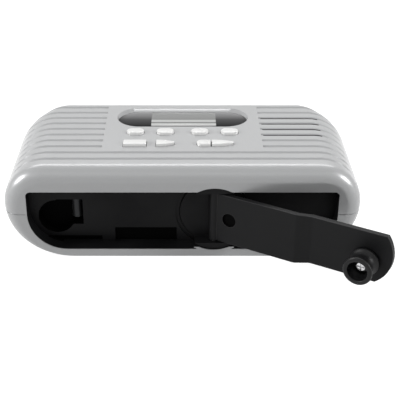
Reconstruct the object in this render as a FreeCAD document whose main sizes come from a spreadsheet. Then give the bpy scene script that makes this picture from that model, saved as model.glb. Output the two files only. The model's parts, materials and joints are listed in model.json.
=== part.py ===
import FreeCAD, Part
import Sketcher
import math
import os
import re
from types import SimpleNamespace

from FreeCAD import Placement, Rotation, Vector

# Emergency radio with a folding dynamo crank, lying on its back cover.
# X runs to the right, Y away from the crank side, Z up out of the key face.
# The origin is the middle of the flat back on which it lies. Millimetres.

SIZES = {
    # Case
    "case_half": 95.0,
    "case_front": 43.0,
    "case_back": 46.5,
    "case_height": 52.0,
    "wall": 2.4,
    "belly_height": 29.0,
    "belly_straight": 0.6,
    "front_round": 8.0,
    "back_corner": 22.0,
    "back_top_round": 4.0,
    "back_bottom_round": 6.0,
    "back_shoulder": 10.0,
    "seam_height": 25.6,
    "seam_width": 0.5,
    "seam_depth": 0.4,
    # Grooves between the ribs
    "groove_pitch": 7.65,
    "groove_width": 2.6,
    "groove_depth": 1.2,
    "groove_lean": 0.82,
    "groove_slope": 1.0,
    "groove_count": 10,
    "groove_full_count": 2,
    "groove_last": -28.0,
    "panel_half": 43.8,
    # Speaker
    "speaker_inset": 33.5,
    "speaker_y": 11.3,
    "speaker_radius": 20.0,
    "speaker_flange": 1.0,
    "speaker_drop": 5.8,
    "speaker_depth": 10.0,
    "magnet_radius": 12.0,
    "magnet_height": 6.0,
    "collar_wall": 1.6,
    "gauze_thick": 0.4,
    "slot_width": 2.5,
    "slot_setback": 0.45,
    "slot_half_length": 16.5,
    "slot_first": 4,
    "slot_count": 4,
    # Display
    "display_x": 25.1,
    "display_y": 24.3,
    "display_radius": 12.0,
    "bevel_near": 0.3,
    "bevel_tip": 0.7,
    "bevel_far": 2.9,
    "bevel_depth": 1.6,
    "lens_thick": 1.5,
    "lens_gap": 0.12,
    "glass_left": 18.8,
    "glass_right": 19.8,
    "glass_near": 14.0,
    "glass_far": 31.6,
    "glass_thick": 1.6,
    # Keys
    "key_proud": 1.5,
    "key_gap": 0.35,
    "key_flange": 0.8,
    "key_travel": 0.8,
    "key_stem": 1.6,
    "oval_length": 9.6,
    "oval_depth": 6.2,
    "oval_y": 3.9,
    "oval_outer_x": 26.3,
    "oval_inner_x": 9.7,
    "low_key_y": -11.2,
    "low_key_depth": 5.8,
    "wide_key_x": -26.1,
    "wide_key_length": 12.6,
    "arrow_key_x": -9.5,
    "arrow_key_length": 9.9,
    "tune_seam_x": 15.3,
    "tune_down_length": 7.5,
    "tune_up_length": 12.6,
    "switch_height": 1.0,
    "switch_half": 2.5,
    # Board
    "board_drop": 10.0,
    "board_thick": 1.6,
    "board_left": 39.2,
    "board_right": 35.2,
    "board_space": 0.8,
    "board_margin": 3.0,
    "small_screw_head": 2.4,
    "small_screw_shank": 1.0,
    # Crank recess
    "recess_margin": 12.5,
    "recess_floor": 4.2,
    "recess_top": 39.0,
    "recess_corner": 20.5,
    "recess_top_corner": 2.5,
    "recess_depth": 9.0,
    "lip": 0.6,
    "tub_wall": 1.2,
    "tub_gap": 0.15,
    "tub_back": 3.8,
    "horn_height": 5.5,
    # Knob pocket and the shapes beside it
    "pocket_radius": 9.9,
    "pocket_depth": 7.5,
    "notch_reach": 14.3,
    "notch_low": 14.9,
    "notch_high": 30.0,
    "peg_reach": 10.8,
    "peg_radius": 2.7,
    "peg_low": 17.8,
    "block_reach": 31.3,
    "block_low": 7.6,
    "block_post": 24.2,
    "block_undercut": 2.2,
    "middle_low": 12.7,
    "middle_undercut": 1.6,
    # Hub
    "hub_x": 17.0,
    "hub_z": 22.5,
    "hub_radius": 18.3,
    "hub_gap": 0.5,
    "hub_disc": 2.0,
    "hub_well": 0.3,
    "hub_ring": 1.4,
    "ring_radius": 20.8,
    "ring_step": 0.8,
    "cheek_half_slot": 14.95,
    "cheek_front": 0.9,
    "shaft_radius": 3.0,
    "shaft_fit": 0.05,
    "hinge_setback": 5.0,
    "pin_radius": 1.4,
    # Arm
    "arm_splay": 30.0,
    "arm_half": 14.35,
    "arm_outer_half": 13.7,
    "arm_thick": 2.9,
    "arm_face": 1.3,
    "arm_step": 3.0,
    "arm_step_start": 47.0,
    "arm_step_end": 56.0,
    "arm_barrel": 2.7,
    "arm_end_gap": 0.8,
    "dimple_u": 9.5,
    "dimple_radius": 3.9,
    "dimple_depth": 1.0,
    # Knob
    "pocket_inset": 14.5,
    "knob_drop": 2.85,
    "knob_radius": 7.6,
    "knob_waist": 5.6,
    "knob_length": 11.6,
    "knob_rim": 1.6,
    "knob_bore": 5.2,
    "knob_floor": 4.0,
    "knob_gap": 0.4,
    "screw_head": 3.7,
    "screw_head_height": 2.2,
    "screw_shank": 1.9,
    # Gears
    "gear_module": 0.8,
    "crank_teeth": 44,
    "pinion_teeth": 12,
    "wheel_teeth": 40,
    "rotor_teeth": 10,
    "tooth_play": 0.14,
    "gear_thick": 3.0,
    "wheel_thick": 2.4,
    "gear_space": 0.8,
    "idler_pin_radius": 1.5,
    "plate_thick": 2.0,
    "plate_space": 11.0,
    "plate_margin": 2.6,
    "generator_radius": 14.0,
    "generator_length": 14.5,
    "generator_wall": 1.2,
    "rotor_radius": 9.0,
    "rotor_shaft": 1.0,
    "post_radius": 3.0,
    "post_left": 42.0,
    "post_right": 40.5,
    "post_low": 10.0,
    "post_high": 35.0,
    # Batteries
    "cell_radius": 5.25,
    "cell_length": 44.5,
    "cell_pitch": 10.9,
    "cell_inset": 62.0,
    "cell_y": 22.7,
    "contact_space": 2.2,
    "contact_thick": 0.4,
    "door_thick": 1.8,
    "door_gap": 0.2,
    "door_ledge": 1.6,
    "bay_wall": 1.4,
    "bay_height": 16.6,
    "backup_x": 29.0,
    "backup_y": 14.0,
    "backup_length": 34.0,
    "backup_width": 22.0,
    "backup_height": 11.0,
    # Aerials and jack
    "ferrite_inset": 27.0,
    "ferrite_near": 18.0,
    "ferrite_far": 34.0,
    "ferrite_radius": 4.0,
    "ferrite_height": 11.0,
    "coil_thick": 1.0,
    "coil_length": 20.0,
    "channel_height": 34.0,
    "channel_half": 3.8,
    "channel_depth": 7.0,
    "channel_end": 4.0,
    "antenna_radius": 3.0,
    "antenna_inset": 33.0,
    "shoulder_play": 0.12,
    "antenna_setback": 3.5,
    "antenna_pin_radius": 1.2,
    "tube_wall": 0.4,
    "tube_play": 0.08,
    "tube_end": 50.0,
    "tube_stagger": 0.6,
    "tip_length": 4.0,
    "jack_x": 24.0,
    "jack_height": 18.0,
    "jack_bore": 1.8,
    "jack_bore_depth": 12.0,
    "jack_collar": 3.6,
    # Case screws
    "case_screw_near_inset": 36.0,
    "case_screw_near_y": 20.0,
    "case_screw_left_inset": 29.0,
    "case_screw_left_y": 31.0,
    "case_screw_right_inset": 43.0,
    "case_screw_right_y": 32.6,
    "boss_radius": 3.3,
    "case_screw_shank": 1.5,
    "case_screw_head": 2.7,
    "screw_play": 0.05,
    "head_well": 7.0,
    "case_screw_length": 28.0,
}

doc = FreeCAD.newDocument("emergency_radio")
sheet = doc.addObject("Spreadsheet::Sheet", "Sizes")
for row, (alias, number) in enumerate(SIZES.items(), start=1):
    sheet.set(f"A{row}", alias)
    sheet.set(f"B{row}", str(number))
    sheet.setAlias(f"B{row}", alias)
doc.recompute()

# Places that follow from the sizes, kept as bound properties of one object
PLACES = {
    "recess_half": "case_half - recess_margin",
    "pocket_x": "recess_margin + pocket_inset - case_half",
    "knob_u": "case_half - recess_margin - pocket_inset + hub_x",
    "speaker_x": "case_half - speaker_inset",
    "ferrite_x": "case_half - ferrite_inset",
    "antenna_pivot_x": "case_half - antenna_inset",
    "cell_x": "cell_inset - case_half",
    "case_screw_near_x": "case_half - case_screw_near_inset",
    "case_screw_left_x": "case_half - case_screw_left_inset",
    "case_screw_right_x": "case_half - case_screw_right_inset",
    "board_height": "case_height - board_drop",
    "board_near": "case_front - recess_depth - tub_back - plate_space - plate_thick - board_space",
    "board_far": "case_back - channel_depth - wall - board_space",
    "peg_x": "case_half - recess_margin - pocket_inset - peg_reach",
    "notch_right": "case_half - recess_margin - pocket_inset - notch_reach",
}
places = doc.addObject("App::FeaturePython", "Places")
ALIAS_WORD = re.compile(r"[a-z_]+")
parts = []


def with_sheet(expression):
    """Put the name of the sheet, or of the places, before each alias of an expression."""
    def owner(word):
        return ("Places." if word.group() in PLACES else "Sizes.") + word.group()
    return ALIAS_WORD.sub(owner, expression)


for place, expression in PLACES.items():
    places.addProperty("App::PropertyFloat", place)
    places.setExpression(place, with_sheet(expression))
doc.recompute()
n = SimpleNamespace(**{alias: sheet.get(alias) for alias in SIZES})
for place in PLACES:
    setattr(n, place, getattr(places, place))


def bind(piece, prop, expression):
    piece.setExpression(prop, with_sheet(expression))


def keep(piece, node):
    """Mark a finished piece as a sub-part with its own name."""
    piece.Label = node
    parts.append(piece)
    return piece


# Bound primitives

def box(xs, ys, zs):
    piece = doc.addObject("Part::Box", "Box")
    for (low, high), size, axis in zip((xs, ys, zs), ("Length", "Width", "Height"), "xyz"):
        bind(piece, size, f"({high}) - ({low})")
        bind(piece, f"Placement.Base.{axis}", low)
    return piece


TURNS = {
    "X": Rotation(Vector(0, 1, 0), 90),
    "Y": Rotation(Vector(1, 0, 0), -90),
    "Z": Rotation(),
}


def cylinder(axis, centre, span, radius):
    """Make a cylinder along an axis: centre is given on the two other axes, in order."""
    piece = doc.addObject("Part::Cylinder", "Cylinder")
    piece.Placement = Placement(Vector(), TURNS[axis])
    bind(piece, "Radius", radius)
    bind(piece, "Height", f"({span[1]}) - ({span[0]})")
    bind(piece, f"Placement.Base.{axis.lower()}", span[0])
    for other, place in zip([a for a in "xyz" if a != axis.lower()], centre):
        bind(piece, f"Placement.Base.{other}", place)
    return piece


def cone(axis, centre, span, radii):
    piece = doc.addObject("Part::Cone", "Cone")
    piece.Placement = Placement(Vector(), TURNS[axis])
    bind(piece, "Radius1", radii[0])
    bind(piece, "Radius2", radii[1])
    bind(piece, "Height", f"({span[1]}) - ({span[0]})")
    bind(piece, f"Placement.Base.{axis.lower()}", span[0])
    for other, place in zip([a for a in "xyz" if a != axis.lower()], centre):
        bind(piece, f"Placement.Base.{other}", place)
    return piece


def fuse(*pieces):
    piece = doc.addObject("Part::MultiFuse", "Fuse")
    piece.Shapes = list(pieces)
    piece.Refine = True
    return piece


def cut(base, *tools):
    piece = doc.addObject("Part::Cut", "Cut")
    piece.Base = base
    piece.Tool = tools[0] if len(tools) == 1 else fuse(*tools)
    return piece


def common(first, second):
    piece = doc.addObject("Part::Common", "Common")
    piece.Base = first
    piece.Tool = second
    return piece


def group(*pieces):
    piece = doc.addObject("Part::Compound", "Group")
    piece.Links = list(pieces)
    return piece


def feature(shape):
    piece = doc.addObject("Part::Feature", "Shape")
    piece.Shape = shape
    return piece


# Sketches and PartDesign features

def new_body():
    return doc.addObject("PartDesign::Body", "Body")


def new_sketch(body, role, lift=None):
    sketch = body.newObject("Sketcher::SketchObject", "Sketch")
    plane = next(o for o in body.Origin.OriginFeatures if o.Role == role)
    sketch.AttachmentSupport = [(plane, "")]
    sketch.MapMode = "FlatFace"
    if lift:
        bind(sketch, "AttachmentOffset.Base.z", lift)
    return sketch


def sketch_value(sketch, kind, places, expression):
    index = sketch.addConstraint(Sketcher.Constraint(kind, *places, 1.0))
    sketch.renameConstraint(index, f"c{index}")
    bind(sketch, f"Constraints.c{index}", expression)


def sketch_point(sketch, edge, end, x, y):
    """Pin a sketch point at two bound distances from the sketch's origin."""
    sketch_value(sketch, "DistanceX", (-1, 1, edge, end), x)
    sketch_value(sketch, "DistanceY", (-1, 1, edge, end), y)


def sketch_circle(sketch, x, y, radius):
    edge = sketch.addGeometry(Part.Circle(Vector(1, 1, 0), Vector(0, 0, 1), 1), False)
    sketch_point(sketch, edge, 3, x, y)
    sketch_value(sketch, "Radius", (edge,), radius)


def sketch_polygon(sketch, corners, start):
    """Draw a closed polygon: start holds rough places, corners the bound ones."""
    first = sketch.GeometryCount
    count = len(corners)
    for i in range(count):
        a = Vector(*start[i], 0)
        b = Vector(*start[(i + 1) % count], 0)
        sketch.addGeometry(Part.LineSegment(a, b), False)
    for i in range(count):
        following = first + (i + 1) % count
        sketch.addConstraint(Sketcher.Constraint("Coincident", first + i, 2, following, 1))
    for i, (x, y) in enumerate(corners):
        sketch_point(sketch, first + i, 1, x, y)


def pad(body, sketch, length):
    piece = body.newObject("PartDesign::Pad", "Pad")
    piece.Profile = sketch
    bind(piece, "Length", length)
    return piece


def pocket(body, sketch, length, reverse=False):
    piece = body.newObject("PartDesign::Pocket", "Pocket")
    piece.Profile = sketch
    piece.Reversed = reverse
    bind(piece, "Length", length)
    return piece


def revolve(body, sketch):
    piece = body.newObject("PartDesign::Revolution", "Revolution")
    piece.Profile = sketch
    piece.ReferenceAxis = (sketch, ["V_Axis"])
    piece.Angle = 360
    return piece


# Heights and depths that several pieces share, as expressions of the sheet
WALL_FACE = "(recess_depth - case_front)"
WELL_FLOOR = f"({WALL_FACE} + hub_disc + hub_well)"
TUB_REAR = f"({WALL_FACE} + tub_back)"
GEAR_FRONT = f"({TUB_REAR} + gear_space)"
GEAR_REAR = f"({GEAR_FRONT} + gear_thick)"
WHEEL_FRONT = f"({GEAR_REAR} + gear_space)"
WHEEL_REAR = f"({WHEEL_FRONT} + wheel_thick)"
PLATE_FRONT = f"({TUB_REAR} + plate_space)"
PLATE_REAR = f"({PLATE_FRONT} + plate_thick)"
IDLER_X = "(hub_x - gear_module * (crank_teeth + pinion_teeth) / 2)"
ROTOR_X = f"({IDLER_X} - gear_module * (wheel_teeth + rotor_teeth) / 2)"
COVER_UNDER = "(case_height - wall)"
BOARD_TOP = "(board_height + board_thick)"
SWITCH_TOP = f"({BOARD_TOP} + switch_height)"
LENS_TOP = "(case_height - bevel_depth)"
LENS_UNDER = f"({LENS_TOP} - lens_thick)"
FLANGE_TOP = "(case_height - speaker_drop)"
CHANNEL_Y = "(case_back - antenna_setback)"

wall_face = n.recess_depth - n.case_front
well_floor = wall_face + n.hub_disc + n.hub_well
tub_rear = wall_face + n.tub_back
gear_front = tub_rear + n.gear_space
wheel_front = gear_front + n.gear_thick + n.gear_space
plate_front = tub_rear + n.plate_space
cover_under = n.case_height - n.wall
board_top = n.board_height + n.board_thick
lens_top = n.case_height - n.bevel_depth
lens_under = lens_top - n.lens_thick
flange_top = n.case_height - n.speaker_drop
channel_y = n.case_back - n.antenna_setback
idler_x = n.hub_x - n.gear_module * (n.crank_teeth + n.pinion_teeth) / 2
rotor_x = idler_x - n.gear_module * (n.wheel_teeth + n.rotor_teeth) / 2
FAR = 300.0


def brick(xs, ys, zs):
    corner = Vector(xs[0], ys[0], zs[0])
    return Part.makeBox(xs[1] - xs[0], ys[1] - ys[0], zs[1] - zs[0], corner)


def rod_y(x, z, y_low, y_high, radius):
    return Part.makeCylinder(radius, y_high - y_low, Vector(x, y_low, z), Vector(0, 1, 0))


def rod_z(x, y, z_low, z_high, radius):
    return Part.makeCylinder(radius, z_high - z_low, Vector(x, y, z_low), Vector(0, 0, 1))


# The case: front-view profiles that shrink towards the front and back edges

def arc(start, middle, end):
    return Part.Arc(start, middle, end).toShape()


def case_profile(y, half, bottom, top, shoulder):
    """Draw the case's outline across Y: flat back, round belly, tighter shoulders."""
    belly = n.belly_height - bottom
    lean = math.sqrt(0.5)

    def point(side, x, z):
        return Vector(side * x, y, z)

    flat = half - belly
    deck = half - shoulder
    edges = [Part.LineSegment(point(-1, flat, bottom), point(1, flat, bottom)).toShape()]
    middle_low = (flat + belly * lean, n.belly_height - belly * lean)
    middle_high = (deck + shoulder * lean, top - shoulder + shoulder * lean)
    edges.append(arc(point(1, flat, bottom), point(1, *middle_low), point(1, half, n.belly_height)))
    edges.append(Part.LineSegment(point(1, half, n.belly_height), point(1, half, top - shoulder)).toShape())
    edges.append(arc(point(1, half, top - shoulder), point(1, *middle_high), point(1, deck, top)))
    edges.append(Part.LineSegment(point(1, deck, top), point(-1, deck, top)).toShape())
    edges.append(arc(point(-1, deck, top), point(-1, *middle_high), point(-1, half, top - shoulder)))
    edges.append(Part.LineSegment(point(-1, half, top - shoulder), point(-1, half, n.belly_height)).toShape())
    edges.append(arc(point(-1, half, n.belly_height), point(-1, *middle_low), point(-1, flat, bottom)))
    return Part.Wire(edges)


def round_off(radius, depth):
    """Say how far a round of this radius stands back at a depth from its end plane."""
    depth = max(depth, 0.0)
    if depth >= radius:
        return 0.0
    return radius - math.sqrt(radius ** 2 - (radius - depth) ** 2)


def case_section(y, inset=0.0, shift=(0.0, 0.0)):
    """Draw the case's outline at any Y: whole, or set in by a wall, or shifted in X and Z."""
    full_shoulder = n.case_height - n.belly_height - n.belly_straight - inset
    front_step = round_off(n.front_round - inset, y + n.case_front - inset)
    corner = n.back_corner - inset
    depth = n.case_back - inset - y
    side = round_off(corner, depth)
    rise = round_off(n.back_bottom_round - inset, depth)
    drop = round_off(n.back_top_round - inset, depth)
    shoulder = full_shoulder + (n.back_shoulder - inset - full_shoulder) * side / corner
    outline = case_profile(
        y,
        n.case_half - inset - front_step - side,
        inset + rise,
        n.case_height - inset - front_step - drop,
        shoulder - front_step,
    )
    outline.translate(Vector(shift[0], 0, shift[1]))
    return outline


def case_solid(inset):
    """Make the whole case, or its inside, where inset is the wall."""
    front = -n.case_front + inset
    back = n.case_back - inset
    front_round = n.front_round - inset
    corner = n.back_corner - inset
    ys = [front + front_round * (1 - math.cos(math.radians(a))) for a in range(0, 91, 10)]
    nose = Part.makeLoft([case_section(y, inset) for y in ys], True, True)
    turns = (0, 12, 24, 35, 45, 54, 62, 69, 75, 81, 86, 90)
    ys = [back - corner * (1 - math.sin(math.radians(a))) for a in turns]
    tail = Part.makeLoft([case_section(y, inset) for y in ys], True, True)
    middle = Part.Face(case_section(front + front_round, inset))
    middle = middle.extrude(Vector(0, back - corner - front - front_round, 0))
    return nose.fuse([middle, tail])


def recess_profile(y, spread):
    """Draw the crank recess's outline, spread outwards by a wall or a gap."""
    half = n.recess_half + spread
    low = n.recess_floor - spread
    high = n.recess_top + spread
    big = n.recess_corner + spread
    small = n.recess_top_corner + spread
    lean = math.sqrt(0.5)
    edges = []

    def p(x, z):
        return Vector(x, y, z)

    edges.append(Part.LineSegment(p(big - half, low), p(half - big, low)).toShape())
    turn_low = big * (1 - lean)
    turn_high = small * (1 - lean)
    edges.append(arc(p(half - big, low), p(half - turn_low, low + turn_low), p(half, low + big)))
    edges.append(Part.LineSegment(p(half, low + big), p(half, high - small)).toShape())
    edges.append(arc(p(half, high - small), p(half - turn_high, high - turn_high), p(half - small, high)))
    edges.append(Part.LineSegment(p(half - small, high), p(small - half, high)).toShape())
    edges.append(arc(p(small - half, high), p(turn_high - half, high - turn_high), p(-half, high - small)))
    edges.append(Part.LineSegment(p(-half, high - small), p(-half, low + big)).toShape())
    edges.append(arc(p(-half, low + big), p(turn_low - half, low + turn_low), p(big - half, low)))
    return Part.Wire(edges)


def recess_prism(y_low, y_high, spread):
    return Part.Face(recess_profile(y_low, spread)).extrude(Vector(0, y_high - y_low, 0))


def display_outline(z, near, tip, far):
    """Draw the display's long rounded outline, grown at its near side, its tips and its far side."""
    low = n.display_y - n.display_radius - near
    high = n.display_y + n.display_radius + far
    radius = (high - low) / 2
    middle = (high + low) / 2
    end = n.display_x + n.display_radius + tip - radius

    def p(x, y):
        return Vector(x, y, z)

    edges = [
        Part.LineSegment(p(-end, low), p(end, low)).toShape(),
        arc(p(end, low), p(end + radius, middle), p(end, high)),
        Part.LineSegment(p(end, high), p(-end, high)).toShape(),
        arc(p(-end, high), p(-end - radius, middle), p(-end, low)),
    ]
    return Part.Wire(edges)


def display_prism(z_low, z_high, grow):
    return Part.Face(display_outline(z_low, grow, grow, grow)).extrude(Vector(0, 0, z_high - z_low))


# Keys: name, place of the middle, length, depth and kind of outline
OVAL_KEYS = (
    ("key_oval_1", "-oval_outer_x"),
    ("key_oval_2", "-oval_inner_x"),
    ("key_oval_3", "oval_inner_x"),
    ("key_oval_4", "oval_outer_x"),
)
KEY_UNDER = f"({SWITCH_TOP} + key_travel)"
FLANGE_HIGH = f"({COVER_UNDER} - key_gap / 2)"


def oval_column(x, y, length, depth, grow, span):
    """Bind a rounded key: a bar between two round ends."""
    reach = f"(({length}) - ({depth})) / 2"
    radius = f"({depth}) / 2 + {grow}"
    ends = [cylinder("Z", (f"{x} + {sign}{reach}", y), span, radius) for sign in "+-"]
    ys = (f"{y} - ({radius})", f"{y} + ({radius})")
    return fuse(box((f"{x} - {reach}", f"{x} + {reach}"), ys, span), *ends)


def prism_column(corners, start, span):
    """Pad a bound polygon between two heights."""
    body = new_body()
    sketch = new_sketch(body, "XY_Plane", span[0])
    sketch_polygon(sketch, corners, start)
    pad(body, sketch, f"({span[1]}) - ({span[0]})")
    return body


def wide_column(grow, span):
    x = ("wide_key_x - wide_key_length / 2 - " + grow, "wide_key_x + wide_key_length / 2 + " + grow)
    y = (f"low_key_y - low_key_depth / 2 - {grow}", f"low_key_y + low_key_depth / 2 + {grow}")
    return box(x, y, span)


def pointed_column(left, bend, right, grow, seam_grow, span):
    """Bind a key that is square on its left and pointed on its right."""
    low = f"low_key_y - low_key_depth / 2 - {grow}"
    high = f"low_key_y + low_key_depth / 2 + {grow}"
    start_x = f"{left} - {seam_grow}"
    bend_low = f"low_key_y - low_key_depth * 0.44 - {grow}"
    bend_high = f"low_key_y + low_key_depth * 0.44 + {grow}"
    tip_x = f"{right} + {grow}"
    tip_low = f"low_key_y - low_key_depth / 9 - {grow} / 2"
    tip_high = f"low_key_y + low_key_depth / 9 + {grow} / 2"
    corners = [(start_x, low), (bend, bend_low), (tip_x, tip_low)]
    corners += [(tip_x, tip_high), (bend, bend_high), (start_x, high)]
    start = [(-5, -5), (0, -5), (5, -1), (5, 1), (0, 5), (-5, 5)]
    return prism_column(corners, start, span)


def blunt_column(grow, seam_grow, span):
    """Bind the left tuning key: round on its left, square at the seam."""
    middle = "(tune_seam_x - tune_down_length + low_key_depth / 2)"
    radius = f"low_key_depth / 2 + {grow}"
    ys = (f"low_key_y - ({radius})", f"low_key_y + ({radius})")
    bar = box((middle, f"tune_seam_x + {seam_grow}"), ys, span)
    return fuse(bar, cylinder("Z", (middle, "low_key_y"), span, radius))


def key_column(name, grow, span, seam_grow=None):
    """Bind one key's outline between two heights, grown by a gap or a flange."""
    seam_grow = grow if seam_grow is None else seam_grow
    ovals = dict(OVAL_KEYS)
    if name in ovals:
        return oval_column(ovals[name], "oval_y", "oval_length", "oval_depth", grow, span)
    if name == "key_wide":
        return wide_column(grow, span)
    if name == "key_arrow":
        left = "(arrow_key_x - arrow_key_length / 2)"
        right = "(arrow_key_x + arrow_key_length / 2)"
        return pointed_column(left, "arrow_key_x", right, grow, grow, span)
    if name == "key_tune_down":
        return blunt_column(grow, seam_grow, span)
    left = "(tune_seam_x + key_gap * 2)"
    right = "(tune_seam_x + tune_up_length)"
    return pointed_column(left, "(tune_seam_x + tune_up_length * 0.52)", right, grow, seam_grow, span)


KEY_CENTRES = {
    "key_oval_1": ("-oval_outer_x", "oval_y"),
    "key_oval_2": ("-oval_inner_x", "oval_y"),
    "key_oval_3": ("oval_inner_x", "oval_y"),
    "key_oval_4": ("oval_outer_x", "oval_y"),
    "key_wide": ("wide_key_x", "low_key_y"),
    "key_arrow": ("(arrow_key_x - arrow_key_length / 7)", "low_key_y"),
    "key_tune_down": ("(tune_seam_x - tune_down_length / 2)", "low_key_y"),
    "key_tune_up": ("(tune_seam_x + tune_up_length / 2)", "low_key_y"),
}


def make_keys():
    for name, centre in KEY_CENTRES.items():
        cap = key_column(name, "0", (FLANGE_HIGH, "case_height + key_proud"))
        flange = key_column(name, "key_flange", (f"{FLANGE_HIGH} - key_flange", FLANGE_HIGH), "0")
        stem = cylinder("Z", centre, (KEY_UNDER, f"{FLANGE_HIGH} - key_flange"), "key_stem")
        keep(fuse(cap, flange, stem), name)


def key_holes():
    span = (f"{COVER_UNDER} - 1", "case_height + 1")
    return [key_column(name, "key_gap", span) for name in KEY_CENTRES]


def groove_front(index):
    """Give the near edge of a groove, counted from the crank side."""
    return n.groove_last + index * n.groove_pitch - n.groove_width


def groove_tools(outer):
    """Cut the valleys between the ribs: sloped far walls, ends that fade out on the shoulders."""
    tools = []
    slope = n.groove_slope
    for i in range(int(n.groove_count)):
        front = groove_front(i)
        rear = front + n.groove_width
        inner = 0 if i < n.groove_full_count else n.panel_half
        # How far down the floor lies at each Y, as a share of the groove's depth
        steps = (
            (front, 0.35),
            (front + slope * 0.15, 0.8),
            (front + slope * 0.4, 1.0),
            (rear - slope, 1.0),
            (rear - slope * 0.75, 0.93),
            (rear - slope * 0.25, 0.3),
            (rear, 0.0),
        )
        for side in (-1, 1):
            shifts = [(side * n.groove_lean * share, -n.groove_depth * share) for y, share in steps]
            floor = Part.makeLoft(
                [case_section(y, 0.0, shift) for (y, share), shift in zip(steps, shifts)], True, True)
            xs = sorted((side * inner, side * FAR))
            slab = outer.common(brick(xs, (front, rear), (n.seam_height + 1, FAR)))
            tools.append(slab.cut(floor))
    return tools


def speaker_slots():
    slots = []
    for i in range(int(n.slot_count)):
        rear = groove_front(n.slot_first + i) + n.groove_width - n.slot_setback
        ys = (rear - n.slot_width, rear)
        xs = (n.speaker_x - n.slot_half_length, n.speaker_x + n.slot_half_length)
        slots.append(brick(xs, ys, (flange_top, FAR)))
    return slots


CASE_SCREWS = (
    ("case_screw_near_x", "-case_screw_near_y"),
    ("-case_screw_near_x", "-case_screw_near_y"),
    ("-case_screw_left_x", "case_screw_left_y"),
    ("case_screw_right_x", "case_screw_right_y"),
)
case_screw_places = (
    (n.case_screw_near_x, -n.case_screw_near_y),
    (-n.case_screw_near_x, -n.case_screw_near_y),
    (-n.case_screw_left_x, n.case_screw_left_y),
    (n.case_screw_right_x, n.case_screw_right_y),
)
BOARD_SCREWS = (
    ("board_right - board_margin", "board_margin - board_near"),
    ("board_margin - board_left", "board_margin - board_near"),
    ("board_right - board_margin", "board_far - board_margin"),
    ("board_margin - board_left", "board_far - board_margin"),
)
board_screw_places = (
    (n.board_right - n.board_margin, n.board_margin - n.board_near),
    (n.board_margin - n.board_left, n.board_margin - n.board_near),
    (n.board_right - n.board_margin, n.board_far - n.board_margin),
    (n.board_margin - n.board_left, n.board_far - n.board_margin),
)
SPEAKER_SCREW_ANGLES = (60, 180, 300)


def speaker_screw_places():
    reach = n.speaker_radius + n.boss_radius - 0.7
    for angle in SPEAKER_SCREW_ANGLES:
        turn = math.radians(angle)
        yield n.speaker_x + reach * math.cos(turn), n.speaker_y + reach * math.sin(turn)


def hub_tool(y_low, y_high, radius):
    return rod_y(n.hub_x, n.hub_z, y_low, y_high, radius)


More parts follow.
